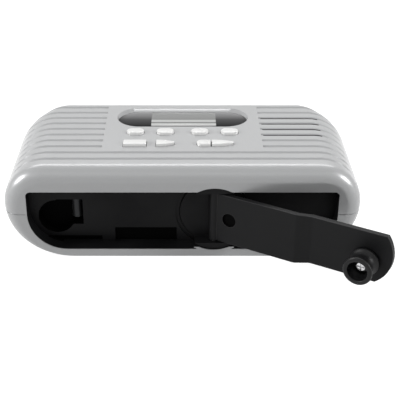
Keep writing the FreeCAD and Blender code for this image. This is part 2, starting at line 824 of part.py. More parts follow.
def make_case():
    outer = case_solid(0)
    inner = case_solid(n.wall)
    above = brick((-FAR, FAR), (-FAR, FAR), (n.seam_height, FAR))
    front = -n.case_front
    rebate = front + n.lip
    clear = n.hub_radius + n.hub_gap
    ring = clear + n.hub_ring + n.tub_gap
    back_inner = n.case_back - n.wall

    shell = outer.cut(inner)
    seam_zs = (n.seam_height - n.seam_width / 2, n.seam_height + n.seam_width / 2)
    seam_band = brick((-FAR, FAR), (-FAR, FAR), seam_zs)
    seam = outer.common(seam_band).cut(case_solid(n.seam_depth))
    shared_cuts = [
        recess_prism(front - 1, rebate + 0.01, 0),
        recess_prism(rebate, wall_face, n.tub_wall + n.tub_gap),
        hub_tool(front - 1, wall_face + n.tub_back + 1, clear),
        hub_tool(rebate, wall_face + n.tub_back + 1, ring),
        seam,
    ]

    # Upper shell
    display_seat = brick(
        (-n.display_x - n.display_radius - 3.5, n.display_x + n.display_radius + 3.5),
        (n.display_y - n.display_radius - 2.2, back_inner + 1),
        (lens_under - 1.6, n.case_height - 0.5),
    )
    channel_block = brick(
        (-FAR, n.antenna_pivot_x + n.channel_end + n.wall),
        (n.case_back - n.channel_depth - n.wall, n.case_back),
        (n.channel_height - n.channel_half - n.wall, n.channel_height + n.channel_half + n.wall),
    )
    additions = [display_seat, channel_block]
    additions += [rod_z(x, y, n.seam_height, n.case_height, n.boss_radius) for x, y in case_screw_places]
    additions += [rod_z(x, y, board_top, n.case_height, n.small_screw_head) for x, y in board_screw_places]
    additions += [rod_z(x, y, flange_top, n.case_height, n.small_screw_head) for x, y in speaker_screw_places()]
    collar = rod_z(n.speaker_x, n.speaker_y, flange_top, n.case_height, n.speaker_radius)
    collar = collar.cut(rod_z(n.speaker_x, n.speaker_y, flange_top, n.case_height, n.speaker_radius - n.collar_wall))
    additions.append(collar)
    frame = outer.common(additions[0].fuse(additions[1:]))
    # The added walls stay inside the skin, so the grooves keep their depth
    core = case_solid(n.wall / 2)
    top = shell.fuse(frame.common(core)).common(above)

    mouth = Part.makeLoft([
        display_outline(lens_top, 0.0, 0.0, 0.0),
        display_outline(n.case_height + 0.05, n.bevel_near, n.bevel_tip, n.bevel_far),
    ], True, True)
    window = brick(
        (-n.glass_left - 0.6, n.glass_right + 0.6),
        (n.glass_near - 0.6, n.glass_far + 0.6),
        (lens_under - 3, lens_under + 0.1),
    )
    channel = brick(
        (-FAR, n.antenna_pivot_x + n.channel_end),
        (n.case_back - n.channel_depth, FAR),
        (n.channel_height - n.channel_half, n.channel_height + n.channel_half),
    )
    pin_low = n.channel_height - n.channel_half - 1.6
    pin_high = n.channel_height + n.channel_half + 1.6
    pin_hole = rod_z(n.antenna_pivot_x, channel_y, pin_low, pin_high, n.antenna_pin_radius + n.screw_play)
    cuts = list(shared_cuts)
    cuts += groove_tools(outer)
    cuts += speaker_slots()
    cuts += [mouth, display_prism(lens_under, lens_top + 0.01, n.lens_gap), window, channel, pin_hole]
    shank = n.case_screw_shank + n.screw_play
    screw_top = n.head_well + n.case_screw_length + 1
    cuts += [rod_z(x, y, n.seam_height - 1, screw_top, shank) for x, y in case_screw_places]
    shank = n.small_screw_shank + n.screw_play
    cuts += [rod_z(x, y, board_top - 1, cover_under - 0.4, shank) for x, y in board_screw_places]
    places = list(speaker_screw_places())
    cuts += [rod_z(x, y, flange_top - 1, flange_top + 1.6, shank) for x, y in places]
    top = top.cut(cuts)
    upper = cut(feature(top), *key_holes())
    keep(upper, "top_cover")

    # Lower shell
    bay = battery_bay()
    additions = [bay["block"], bay["pad"]]
    additions += [rod_z(x, y, 0, n.seam_height, n.boss_radius + 0.9) for x, y in case_screw_places]
    additions += ferrite_saddles()
    frame = outer.common(additions[0].fuse(additions[1:]))
    bottom = shell.fuse(frame.common(core)).cut(above)
    jack_y = n.case_back - n.wall - 1
    cuts = list(shared_cuts)
    cuts += [bay["room"], bay["opening"], bay["rebate"]]
    shank = n.case_screw_shank + n.screw_play
    head = n.case_screw_head + 0.3
    cuts += [rod_z(x, y, -1, n.seam_height + 1, shank) for x, y in case_screw_places]
    cuts += [rod_z(x, y, -1, n.head_well, head) for x, y in case_screw_places]
    cuts.append(rod_y(n.jack_x, n.jack_height, jack_y, n.case_back + 1, n.jack_collar + n.screw_play))
    bottom = bottom.cut(cuts)
    keep(feature(horns(bottom, clear)), "bottom_cover")


def horns(bottom, clear):
    """Add the low raised edge that follows the hub's clearance in the rim."""
    y_low = -n.case_front
    y_high = y_low + n.lip
    band = hub_tool(y_low, y_high, clear + n.hub_ring).cut(hub_tool(y_low - 1, y_high + 1, clear))
    low = brick((-FAR, FAR), (-FAR, FAR), (n.recess_floor - 1, n.horn_height))
    return bottom.fuse(band.common(low))


def battery_bay():
    """Place the battery bay round its cells: walls, room, opening and door rebate."""
    half_x = n.cell_length / 2 + n.contact_space
    half_y = n.cell_pitch + n.cell_radius + 0.6
    floor = n.door_thick + n.door_gap
    x = (n.cell_x - half_x, n.cell_x + half_x)
    y = (n.cell_y - half_y, n.cell_y + half_y)

    def grown(pair, by):
        return (pair[0] - by, pair[1] + by)

    w = n.bay_wall
    ledge = n.door_ledge
    return {
        "block": brick(grown(x, w), grown(y, w), (0.5, n.bay_height)),
        "pad": brick(grown(x, ledge + 2 * w), grown(y, ledge + w), (0.5, floor + w)),
        "room": brick(x, y, (floor + w, n.bay_height - w)),
        "opening": brick(grown(x, 0), grown(y, 0), (-1, floor + w + 0.01)),
        "rebate": brick(grown(x, ledge), grown(y, ledge), (-1, floor - n.door_gap)),
    }


def ferrite_saddles():
    saddles = []
    length = n.ferrite_near + n.ferrite_far
    for share in (0.12, 0.88):
        y = -n.ferrite_near + share * length
        block = brick((n.ferrite_x - 5, n.ferrite_x + 5), (y - 1.5, y + 1.5), (1, n.ferrite_height))
        saddles.append(block.cut(rod_y(n.ferrite_x, n.ferrite_height, -FAR, FAR, n.ferrite_radius + 0.05)))
    return saddles


def make_tub():
    """Make the black liner of the crank recess, with its pockets and bearing wall."""
    front = -n.case_front + n.lip + n.tub_gap
    clear = n.hub_radius + n.hub_gap
    body = recess_prism(front, tub_rear, n.tub_wall)
    ring = hub_tool(front, tub_rear, clear + n.hub_ring)
    pocket_x = n.pocket_x
    pocket_z = n.hub_z - n.knob_drop
    pocket_rear = wall_face + n.pocket_depth
    pocket_wall = rod_y(pocket_x, pocket_z, wall_face, pocket_rear + 1.8, n.pocket_radius + 1.8)
    notch_x = (pocket_x, -n.notch_right)
    notch_wall = brick(
        (notch_x[0], notch_x[1] + 1.8),
        (wall_face, pocket_rear + 1.8),
        (n.notch_low - 1.8, n.notch_high + 1.8),
    )
    posts = []
    for x in (-n.post_left, n.post_right):
        for z in (n.post_low, n.post_high):
            posts.append(rod_y(x, z, tub_rear, plate_front, n.post_radius))
    body = body.fuse([ring, pocket_wall, notch_wall] + posts)

    spread = 0.0
    cuts = [
        recess_prism(front - 1, wall_face, spread),
        hub_tool(front - 1, wall_face, clear),
        hub_tool(wall_face - 1, wall_face + n.ring_step, n.ring_radius).common(
            recess_prism(wall_face - 1, wall_face + n.ring_step, spread)),
        hub_tool(wall_face - 1, well_floor, clear),
        hub_tool(well_floor - 1, tub_rear + 1, n.shaft_radius + 2.0 + n.screw_play),
        rod_y(pocket_x, pocket_z, wall_face - 1, pocket_rear, n.pocket_radius),
        brick(notch_x, (wall_face - 1, pocket_rear), (n.notch_low, n.notch_high)),
        brick(
            (-FAR, pocket_x + n.block_post),
            (wall_face - 1, wall_face + n.block_undercut),
            (0, n.block_low),
        ).common(recess_prism(wall_face - 1, wall_face + n.block_undercut, spread)),
        brick(
            (pocket_x + n.block_reach, n.hub_x - clear - n.hub_ring),
            (wall_face - 1, wall_face + n.middle_undercut),
            (n.recess_floor, n.middle_low),
        ),
        rod_y(idler_x, n.hub_z, tub_rear - 1.4, tub_rear + 1, n.idler_pin_radius + n.screw_play),
    ]
    for x in (-n.post_left, n.post_right):
        for z in (n.post_low, n.post_high):
            cuts.append(rod_y(x, z, plate_front - 6, plate_front + 1, n.small_screw_shank + n.screw_play))
    keep(feature(body.cut(cuts)), "crank_tub")
    peg_y = f"{WALL_FACE} + pocket_depth - peg_radius"
    peg = cylinder("Z", ("-peg_x", peg_y), ("peg_low", "notch_high"), "peg_radius")
    keep(peg, "pocket_peg")


def make_display():
    keep(feature(display_prism(lens_under, lens_top, 0.0)), "display_window")
    glass_high = f"{LENS_UNDER} - lens_gap"
    glass_low = f"{glass_high} - glass_thick"
    panel = box(("-glass_left", "glass_right"), ("glass_near", "glass_far"), (glass_low, glass_high))
    keep(panel, "display_panel")
    xs = ("-glass_left - wall / 4", "glass_right + wall / 4")
    ys = ("glass_near - wall / 4", "glass_far + wall / 4")
    holder = box(xs, ys, (BOARD_TOP, glass_low))
    xs = ("-glass_left + wall", "glass_right - wall")
    ys = ("glass_near + wall", "glass_far - wall")
    keep(cut(holder, box(xs, ys, (BOARD_TOP, f"{glass_low} - wall / 4"))), "display_holder")


def make_board():
    body = new_body()
    sketch = new_sketch(body, "XY_Plane", "board_height")
    corners = [
        ("-board_left", "-board_near"),
        ("board_right", "-board_near"),
        ("board_right", "board_far"),
        ("-board_left", "board_far"),
    ]
    sketch_polygon(sketch, corners, [(-9, -9), (9, -9), (9, 9), (-9, 9)])
    for x, y in BOARD_SCREWS:
        sketch_circle(sketch, x, y, "small_screw_shank + screw_play")
    pad(body, sketch, "board_thick")
    keep(body, "main_board")
    screws = []
    for x, y in BOARD_SCREWS:
        shank = cylinder("Z", (x, y), ("board_height", f"{BOARD_TOP} + 4"), "small_screw_shank")
        head = cylinder("Z", (x, y), ("board_height - 1.4", "board_height"), "small_screw_head")
        screws.append(fuse(shank, head))
    keep(group(*screws), "board_screws")
    switches = []
    for x, y in KEY_CENTRES.values():
        xs = (f"{x} - switch_half", f"{x} + switch_half")
        ys = (f"{y} - switch_half", f"{y} + switch_half")
        case = box(xs, ys, (BOARD_TOP, f"{BOARD_TOP} + switch_height * 0.6"))
        plunger = cylinder("Z", (x, y), (BOARD_TOP, SWITCH_TOP), "key_stem")
        switches.append(fuse(case, plunger))
    keep(group(*switches), "key_switches")


def make_speaker():
    centre = ("speaker_x", "speaker_y")
    flange_low = f"{FLANGE_TOP} - speaker_flange"
    waist = f"{flange_low} - speaker_depth"
    rim = cylinder("Z", centre, (flange_low, FLANGE_TOP), "speaker_radius")
    basket = cone("Z", centre, (waist, flange_low), ("magnet_radius * 0.9", "speaker_radius * 0.94"))
    radii = ("magnet_radius * 0.9 - wall / 2", "speaker_radius * 0.94 - wall / 2")
    hollow = cone("Z", centre, (waist, FLANGE_TOP), radii)
    throat = cylinder("Z", centre, (f"{waist} - 1", f"{waist} + 1"), "magnet_radius * 0.5")
    keep(cut(fuse(rim, basket), hollow, throat), "speaker_frame")
    reach = "speaker_radius - collar_wall - key_gap / 3"
    gauze = cylinder("Z", centre, (FLANGE_TOP, f"{FLANGE_TOP} + gauze_thick"), reach)
    keep(gauze, "speaker_gauze")
    magnet = cylinder("Z", centre, (f"{waist} - magnet_height", waist), "magnet_radius")
    keep(magnet, "speaker_magnet")
    cone_low = f"{waist} + speaker_depth * 0.35"
    skin_low = ("magnet_radius * 0.35", "speaker_radius * 0.94 - wall / 2 - 0.1")
    solid = cone("Z", centre, (cone_low, FLANGE_TOP), skin_low)
    lift = f"{cone_low} + 0.8"
    air = cone("Z", centre, (lift, f"{FLANGE_TOP} + 0.8"), skin_low)
    post = cylinder("Z", centre, (waist, lift), "magnet_radius * 0.4")
    keep(fuse(cut(solid, air), post), "speaker_cone")
    screws = []
    reach = "(speaker_radius + boss_radius - 0.7)"
    for angle in SPEAKER_SCREW_ANGLES:
        turn = math.radians(angle)
        place = (f"speaker_x + {reach} * {math.cos(turn):.6f}", f"speaker_y + {reach} * {math.sin(turn):.6f}")
        shank = cylinder("Z", place, (flange_low, f"{FLANGE_TOP} + 1.5"), "small_screw_shank")
        head = cylinder("Z", place, (f"{flange_low} - 1.4", flange_low), "small_screw_head + 0.6")
        screws.append(fuse(shank, head))
    keep(group(*screws), "speaker_screws")


def make_hub():
    centre = ("hub_x", "hub_z")
    disc_rear = f"({WALL_FACE} + hub_disc)"
    hinge_y = "(hinge_setback - case_front)"
    disc = cylinder("Y", centre, (WALL_FACE, disc_rear), "hub_radius")
    drum = cylinder("Y", centre, ("cheek_front - case_front", WALL_FACE), "hub_radius")
    reach = ("hub_x - hub_radius * 2", "hub_x + hub_radius * 2")
    slot = ("hub_z - cheek_half_slot", "hub_z + cheek_half_slot")
    room = box(reach, ("-case_front", WALL_FACE), slot)
    rear = f"{PLATE_REAR} + 3"
    shaft = cylinder("Y", centre, (disc_rear, rear), "shaft_radius")
    through = ("hub_z - hub_radius", "hub_z + hub_radius")
    pin_hole = cylinder("Z", ("hub_x", hinge_y), through, "pin_radius + shaft_fit")
    clip_groove = cut(
        cylinder("Y", centre, (f"{PLATE_REAR} + 1", f"{PLATE_REAR} + 1.8"), "shaft_radius + 1"),
        cylinder("Y", centre, (PLATE_REAR, f"{PLATE_REAR} + 3"), "shaft_radius - 0.5"),
    )
    hub = cut(fuse(disc, drum, shaft), room, pin_hole, clip_groove)
    keep(hub, "crank_hub")
    clip = cut(
        cylinder("Y", centre, (f"{PLATE_REAR} + 1.05", f"{PLATE_REAR} + 1.75"), "shaft_radius + 2"),
        cylinder("Y", centre, (PLATE_REAR, f"{PLATE_REAR} + 3"), "shaft_radius - 0.45"),
        box(("hub_x - 1.6", "hub_x + 1.6"), (PLATE_REAR, f"{PLATE_REAR} + 3"), ("hub_z", "hub_z + 9")),
    )
    keep(clip, "shaft_clip")
    span = ("hub_z - hub_radius + 0.4", "hub_z + hub_radius - 0.4")
    keep(cylinder("Z", ("hub_x", hinge_y), span, "pin_radius"), "hinge_pin")
    for name, low, high in (
        ("front_bush", WELL_FLOOR, TUB_REAR),
        ("rear_bush", PLATE_FRONT, PLATE_REAR),
    ):
        sleeve = cylinder("Y", centre, (low, high), "shaft_radius + 2")
        bore = cylinder("Y", centre, (f"{low} - 1", f"{high} + 1"), "shaft_radius + shaft_fit")
        keep(cut(sleeve, bore), name)


def arm_frame():
    """Place the arm's own axes: along the arm, up, and out of its knob face."""
    turn = math.radians(n.arm_splay)
    along = Vector(math.cos(turn), -math.sin(turn), 0)
    out = Vector(-math.sin(turn), -math.cos(turn), 0)
    turned = Rotation(along, Vector(0, 0, 1), out, "ZXY")
    return Placement(Vector(n.hub_x, n.hinge_setback - n.case_front, n.hub_z), turned)


def make_arm():
    """Make the stepped arm in its own axes, then stand it open at its stop."""
    face = n.arm_face
    back = face - n.arm_thick
    outer_face = face - n.arm_step
    outer_back = outer_face - n.arm_thick
    half = n.arm_half
    tip_u = n.recess_half + n.hub_x - n.recess_corner
    tip_v = n.recess_floor + n.recess_corner - n.hub_z
    tip_radius = n.recess_corner - n.arm_end_gap
    inner = brick((0, n.arm_step_start), (-half, half), (back, face))
    barrel = Part.makeCylinder(n.arm_barrel, 2 * half, Vector(0, -half, 0), Vector(0, 1, 0))
    outer_half = n.arm_outer_half
    # The step down to the outer half is lofted, so its corners run smoothly across
    sections = []
    for share in (0.0, 0.15, 0.5, 0.85, 1.0):
        u = n.arm_step_start + (n.arm_step_end - n.arm_step_start) * share
        sink = n.arm_step * (3 * share ** 2 - 2 * share ** 3)
        width = half + (outer_half - half) * share
        corners = [Vector(u, -width, back - sink), Vector(u, width, back - sink)]
        corners += [Vector(u, width, face - sink), Vector(u, -width, face - sink)]
        sections.append(Part.makePolygon(corners + corners[:1]))
    ramp = Part.makeLoft(sections, True, True)
    plate = brick((n.arm_step_end, tip_u), (-outer_half, outer_half), (outer_back, outer_face))
    end = Part.makeCylinder(tip_radius, n.arm_thick, Vector(tip_u, tip_v, outer_back))
    end = end.common(brick((tip_u - 1, FAR), (-outer_half, outer_half), (outer_back, outer_face)))
    dimple = Part.makeCylinder(n.dimple_radius, 9, Vector(n.dimple_u, 0, face - n.dimple_depth))
    pin_bore = Part.makeCylinder(
        n.pin_radius + n.shaft_fit, 2 * half + 2, Vector(0, -half - 1, 0), Vector(0, 1, 0))
    screw_bore = Part.makeCylinder(
        n.screw_shank + n.screw_play, 20, Vector(n.knob_u, -n.knob_drop, outer_back - 1))
    arm = inner.fuse([barrel, ramp, plate, end]).removeSplitter()
    arm = arm.cut([dimple, pin_bore, screw_bore])
    piece = feature(arm)
    piece.Placement = arm_frame()
    keep(piece, "crank_arm")


def on_arm(lift):
    """Place a turned piece on the arm at the knob's axis, lifted off its face."""
    frame = arm_frame()
    spot = Vector(n.knob_u, -n.knob_drop, n.arm_face - n.arm_step + lift)
    return frame.multiply(Placement(spot, Rotation(Vector(1, 0, 0), -90)).multiply(upright()))


def upright():
    """Turn a sketch's own height, drawn along Y in the sketch, onto the knob's axis."""
    return Placement(Vector(), Rotation(Vector(1, 0, 0), 90))


def make_knob():
    """Turn the spool-shaped knob: flared rims, narrow waist and a hollow end."""
    body = new_body()
    sketch = new_sketch(body, "XZ_Plane")
    bore = "screw_shank + shaft_fit"
    corners = [
        (bore, "0"),
        ("knob_radius", "0"),
        ("knob_radius", "knob_rim"),
        ("knob_waist", "knob_rim * 2"),
        ("knob_waist", "knob_length - knob_rim * 2"),
        ("knob_radius", "knob_length - knob_rim"),
        ("knob_radius", "knob_length"),
        ("knob_bore", "knob_length"),
        ("knob_bore - 1", "knob_floor"),
        (bore, "knob_floor"),
    ]
    start = [(2, 0), (8, 0), (8, 2), (6, 3), (6, 9), (8, 10), (8, 12), (5, 12), (4, 4), (2, 4)]
    sketch_polygon(sketch, corners, start)
    revolve(body, sketch)
    body.Placement = on_arm(n.knob_gap)
    keep(body, "crank_knob")

    body = new_body()
    sketch = new_sketch(body, "XZ_Plane")
    seat = "knob_floor + knob_gap + screw_play"
    foot = "0 - arm_thick"
    top = f"{seat} + screw_head_height"
    corners = [
        ("0", foot),
        ("screw_shank", foot),
        ("screw_shank", seat),
        ("screw_head", seat),
        ("screw_head", f"{seat} + screw_head_height * 0.45"),
        ("screw_head * 0.6", top),
        ("0", top),
    ]
    start = [(0, -3), (2, -3), (2, 4), (4, 4), (4, 5), (2, 6), (0, 6)]
    sketch_polygon(sketch, corners, start)
    revolve(body, sketch)
    doc.recompute()
    cross = new_sketch(body, "XY_Plane", f"{top} - 1.1")
    arms = ((0.4, 2.0), (2.0, 0.4))
    outline = [
        ("-0.4", "-2"), ("0.4", "-2"), ("0.4", "-0.4"), ("2", "-0.4"), ("2", "0.4"), ("0.4", "0.4"),
        ("0.4", "2"), ("-0.4", "2"), ("-0.4", "0.4"), ("-2", "0.4"), ("-2", "-0.4"), ("-0.4", "-0.4"),
    ]
    start = [(float(x), float(y)) for x, y in outline]
    sketch_polygon(cross, outline, start)
    pocket(body, cross, "2", True)
    body.Placement = on_arm(0)
    keep(body, "knob_screw")


# Gears: each tooth is drawn from its involute, with play at the pitch line

def involute(angle):
    return math.tan(angle) - angle


def gear_face(teeth, turn):
    """Draw a spur gear's outline across Y, with a tooth centred at the turn angle."""
    pitch = n.gear_module * teeth / 2
    base = pitch * math.cos(math.radians(20))
    root = pitch - 1.15 * n.gear_module
    tip = pitch + 0.8 * n.gear_module
    start = max(base, root)
    half_pitch = math.pi / (2 * teeth) - n.tooth_play / (2 * pitch) + involute(math.radians(20))
    steps = 4
    flank = []
    for i in range(steps + 1):
        radius = start + (tip - start) * i / steps
        flank.append((radius, half_pitch - involute(math.acos(base / radius))))
    flank = [(root, flank[0][1])] + flank if root < start else flank

    def point(radius, angle):
        return Vector(radius * math.cos(angle), 0, radius * math.sin(angle))

    corners = []
    for tooth in range(teeth):
        middle = turn + 2 * math.pi * tooth / teeth
        corners += [point(r, middle - a) for r, a in flank]
        corners += [point(r, middle + a) for r, a in reversed(flank)]
    return Part.Face(Part.makePolygon(corners + corners[:1]))


def gear(teeth, x, y_low, y_high, turn=0.0):
    solid = gear_face(int(teeth), turn).extrude(Vector(0, y_high - y_low, 0))
    solid.translate(Vector(x, y_low, n.hub_z))
    return solid


def make_gears():
    gear_rear = gear_front + n.gear_thick
    wheel_rear = wheel_front + n.wheel_thick
    pin = n.idler_pin_radius
    crank = gear(n.crank_teeth, n.hub_x, gear_front, gear_rear)
    crank = crank.fuse(hub_tool(gear_rear, wheel_rear, n.shaft_radius + 2))
    keep(feature(crank.cut(hub_tool(tub_rear, FAR, n.shaft_radius + 0.02))), "crank_gear")

    pinion = gear(n.pinion_teeth, idler_x, gear_front, wheel_front, math.pi / n.pinion_teeth)
    wheel = gear(n.wheel_teeth, idler_x, wheel_front, wheel_rear)
    collar = rod_y(idler_x, n.hub_z, wheel_rear, plate_front - 0.3, pin + 1.5)
    idler = pinion.fuse([wheel, collar]).cut(rod_y(idler_x, n.hub_z, tub_rear, FAR, pin + n.shaft_fit))
    keep(feature(idler), "idler_gear")
    span = (f"{TUB_REAR} - 1.4", PLATE_REAR)
    keep(cylinder("Y", (IDLER_X, "hub_z"), span, "idler_pin_radius"), "idler_pin")

    half_tooth = math.pi / n.rotor_teeth
    teeth = gear(n.rotor_teeth, rotor_x, wheel_front - 0.3, wheel_rear + 0.3, half_tooth)
    can_rear = plate_front + n.plate_thick + n.generator_length
    shaft = rod_y(rotor_x, n.hub_z, wheel_front - 1.0, can_rear - n.generator_wall, n.rotor_shaft)
    magnet_front = plate_front + n.plate_thick + n.generator_wall + 1.2
    magnet_rear = can_rear - n.generator_wall - 1.2
    magnet = rod_y(rotor_x, n.hub_z, magnet_front, magnet_rear, n.rotor_radius)
    keep(feature(teeth.fuse([shaft, magnet])), "rotor")


def make_generator():
    centre = (ROTOR_X, "hub_z")
    rear = f"({PLATE_REAR} + generator_length)"
    can = cylinder("Y", centre, (PLATE_REAR, rear), "generator_radius")
    inside = (f"{PLATE_REAR} + generator_wall", f"{rear} - generator_wall")
    room = cylinder("Y", centre, inside, "generator_radius - generator_wall")
    mouth = cylinder("Y", centre, (f"{PLATE_REAR} - 1", f"{PLATE_REAR} + 3"), "rotor_shaft + shaft_fit")
    rear_hole = cylinder("Y", centre, (f"{rear} - 3", f"{rear} + 1"), "rotor_shaft + shaft_fit")
    keep(cut(can, room, mouth, rear_hole), "generator_can")
    span = (f"{PLATE_REAR} + generator_wall + 1", f"{rear} - generator_wall - 1")
    coil = cut(
        cylinder("Y", centre, span, "generator_radius - generator_wall - 0.1"),
        cylinder("Y", centre, (PLATE_REAR, rear), "rotor_radius + 0.6"),
    )
    keep(coil, "generator_coil")
    xs = ("-post_left - post_radius - plate_margin", "post_right + post_radius + plate_margin")
    zs = ("post_low - post_radius - plate_margin", "post_high + post_radius + plate_margin")
    plate = box(xs, (PLATE_FRONT, PLATE_REAR), zs)
    through = (f"{PLATE_FRONT} - 1", f"{PLATE_REAR} + 1")
    holes = [
        cylinder("Y", ("hub_x", "hub_z"), through, "shaft_radius + 2 + screw_play"),
        cylinder("Y", (IDLER_X, "hub_z"), through, "idler_pin_radius + screw_play"),
        cylinder("Y", centre, through, "rotor_shaft + key_gap"),
    ]
    screws = []
    for x in ("-post_left", "post_right"):
        for z in ("post_low", "post_high"):
            holes.append(cylinder("Y", (x, z), through, "small_screw_shank + screw_play"))
            shank = cylinder("Y", (x, z), (f"{PLATE_FRONT} - 5", PLATE_REAR), "small_screw_shank")
            head = cylinder("Y", (x, z), (PLATE_REAR, f"{PLATE_REAR} + 1.4"), "small_screw_head")
            screws.append(fuse(shank, head))
    keep(cut(plate, *holes), "gearbox_plate")
    keep(group(*screws), "gearbox_screws")


def make_batteries():
    ends = ("cell_x - cell_length / 2", "cell_x + cell_length / 2 - 1")
    height = "(door_thick + door_gap + cell_radius)"
    contacts = []
    for i, shift in enumerate(("- cell_pitch", "", "+ cell_pitch")):
        centre = (f"cell_y {shift}", height)
        can = cylinder("X", centre, ends, "cell_radius")
        button = cylinder("X", centre, (ends[1], f"{ends[1]} + 1"), "cell_radius * 0.4")
        keep(fuse(can, button), f"battery_cell_{i + 1}")
        ys = (f"cell_y {shift} - 4", f"cell_y {shift} + 4")
        zs = (f"{height} - 4", f"{height} + 4")
        wall = "cell_x - cell_length / 2 - contact_space"
        plate = box((wall, f"{wall} + contact_thick"), ys, zs)
        spring = cone("X", centre, (f"{wall} + contact_thick", ends[0]), ("3.2", "1.6"))
        contacts.append(fuse(plate, spring))
        wall = "cell_x + cell_length / 2 + contact_space"
        plate = box((f"{wall} - contact_thick", wall), ys, zs)
        dome = cone("X", centre, (f"{ends[1]} + 1", f"{wall} - contact_thick"), ("1.2", "2.4"))
        contacts.append(fuse(plate, dome))
    keep(group(*contacts), "battery_contacts")

    half_x = "(cell_length / 2 + contact_space + door_ledge - door_gap)"
    half_y = "(cell_pitch + cell_radius + 0.6 + door_ledge - door_gap)"
    xs = (f"cell_x - {half_x}", f"cell_x + {half_x}")
    ys = (f"cell_y - {half_y}", f"cell_y + {half_y}")
    leaf = box(xs, ys, ("0", "door_thick"))
    grip = fuse(*[
        box((f"cell_x + {half_x} - {8 + i * 2.4}", f"cell_x + {half_x} - {6.8 + i * 2.4}"),
            ("cell_y - 8", "cell_y + 8"), ("-1", "door_thick / 3"))
        for i in range(4)
    ])
    keep(cut(leaf, grip), "battery_door")

    body = new_body()
    sketch = new_sketch(body, "XY_Plane", "wall")
    left, right = "backup_x - backup_length / 2", "backup_x + backup_length / 2"
    near, far = "backup_y - backup_width / 2", "backup_y + backup_width / 2"
    corners = [(left, near), (right, near), (right, far), (left, far)]
    sketch_polygon(sketch, corners, [(9, 1), (40, 1), (40, 20), (9, 20)])
    block = pad(body, sketch, "backup_height")
    doc.recompute()
    rounds = body.newObject("PartDesign::Fillet", "Rounds")
    rounds.Base = (block, long_edges(block.Shape))
    bind(rounds, "Radius", "backup_height * 0.4")
    keep(body, "backup_battery")


def long_edges(shape):
    """Find the edges along Y of a box."""
    found = []
    for i, edge in enumerate(shape.Edges, start=1):
        first, last = (v.Point for v in edge.Vertexes)
        if abs(first.x - last.x) < 1e-6 and abs(first.z - last.z) < 1e-6:
            found.append(f"Edge{i}")
    return found


def make_aerials():
    centre = ("ferrite_x", "ferrite_height")
    keep(cylinder("Y", centre, ("-ferrite_near", "ferrite_far"), "ferrite_radius"), "ferrite_rod")
    middle = "((ferrite_far - ferrite_near) / 2)"
    span = (f"{middle} - coil_length / 2", f"{middle} + coil_length / 2")
    coil = cut(
        cylinder("Y", centre, span, "ferrite_radius + coil_thick"),
        cylinder("Y", centre, ("-ferrite_near", "ferrite_far"), "ferrite_radius + screw_play"),
    )
    keep(coil, "aerial_coil")

    pivot = ("antenna_pivot_x", CHANNEL_Y)
    line = (CHANNEL_Y, "channel_height")
    round_span = ("channel_height - antenna_radius", "channel_height + antenna_radius")
    knuckle = cylinder("Z", pivot, round_span, "antenna_radius")
    stub_span = ("antenna_pivot_x - 7", "antenna_pivot_x")
    stub = cylinder("X", line, stub_span, "antenna_radius - tube_wall - screw_play")
    shoulder = cylinder("X", line, ("antenna_pivot_x - 4", "antenna_pivot_x"), "antenna_radius - shoulder_play")
    pin_span = ("channel_height - channel_half - 1.5", "channel_height + channel_half + 1.5")
    hole = cylinder("Z", pivot, pin_span, "antenna_pin_radius + shaft_fit")
    keep(cut(fuse(knuckle, stub, shoulder), hole), "antenna_base")
    keep(cylinder("Z", pivot, pin_span, "antenna_pin_radius"), "antenna_pin")

    outer = "antenna_radius"
    left = "(0 - tube_end)"
    right = "(antenna_pivot_x - 4)"
    for i in range(3):
        tube = cylinder("X", line, (left, right), outer)
        bore = cylinder("X", line, (f"{left} - 1", f"{right} + 1"), f"{outer} - tube_wall")
        keep(cut(tube, bore), f"antenna_tube_{i + 1}")
        outer = f"({outer} - tube_wall - tube_play)"
        left = f"({left} - tube_stagger)"
        right = f"(antenna_pivot_x - 7.5 - tube_stagger * {i})"
    rod = cylinder("X", line, (left, right), outer)
    tip = cylinder("X", line, (f"{left} - tip_length", left), "antenna_radius")
    keep(fuse(rod, tip), "antenna_rod")


def make_jack():
    x = "jack_x"
    z = "jack_height"
    rear = "(case_back - wall)"
    case = box((f"{x} - 4.5", f"{x} + 4.5"), (f"{rear} - 11.5", rear), (f"{z} - 4", f"{z} + 4"))
    collar = cylinder("Y", (x, z), (rear, "case_back - 0.2"), "jack_collar")
    bore = cylinder("Y", (x, z), ("case_back - 0.2 - jack_bore_depth", "case_back + 1"), "jack_bore")
    keep(cut(fuse(case, collar), bore), "earphone_jack")


def make_case_screws():
    screws = []
    for x, y in CASE_SCREWS:
        shank = cylinder("Z", (x, y), ("head_well", "head_well + case_screw_length"), "case_screw_shank")
        head = cylinder("Z", (x, y), ("head_well - 2.2", "head_well"), "case_screw_head")
        deep = ("head_well - 3", "head_well - 1.1")
        slot = fuse(
            box((f"{x} - 1.6", f"{x} + 1.6"), (f"{y} - 0.35", f"{y} + 0.35"), deep),
            box((f"{x} - 0.35", f"{x} + 0.35"), (f"{y} - 1.6", f"{y} + 1.6"), deep),
        )
        screws.append(cut(fuse(shank, head), slot))
    keep(group(*screws), "case_screws")


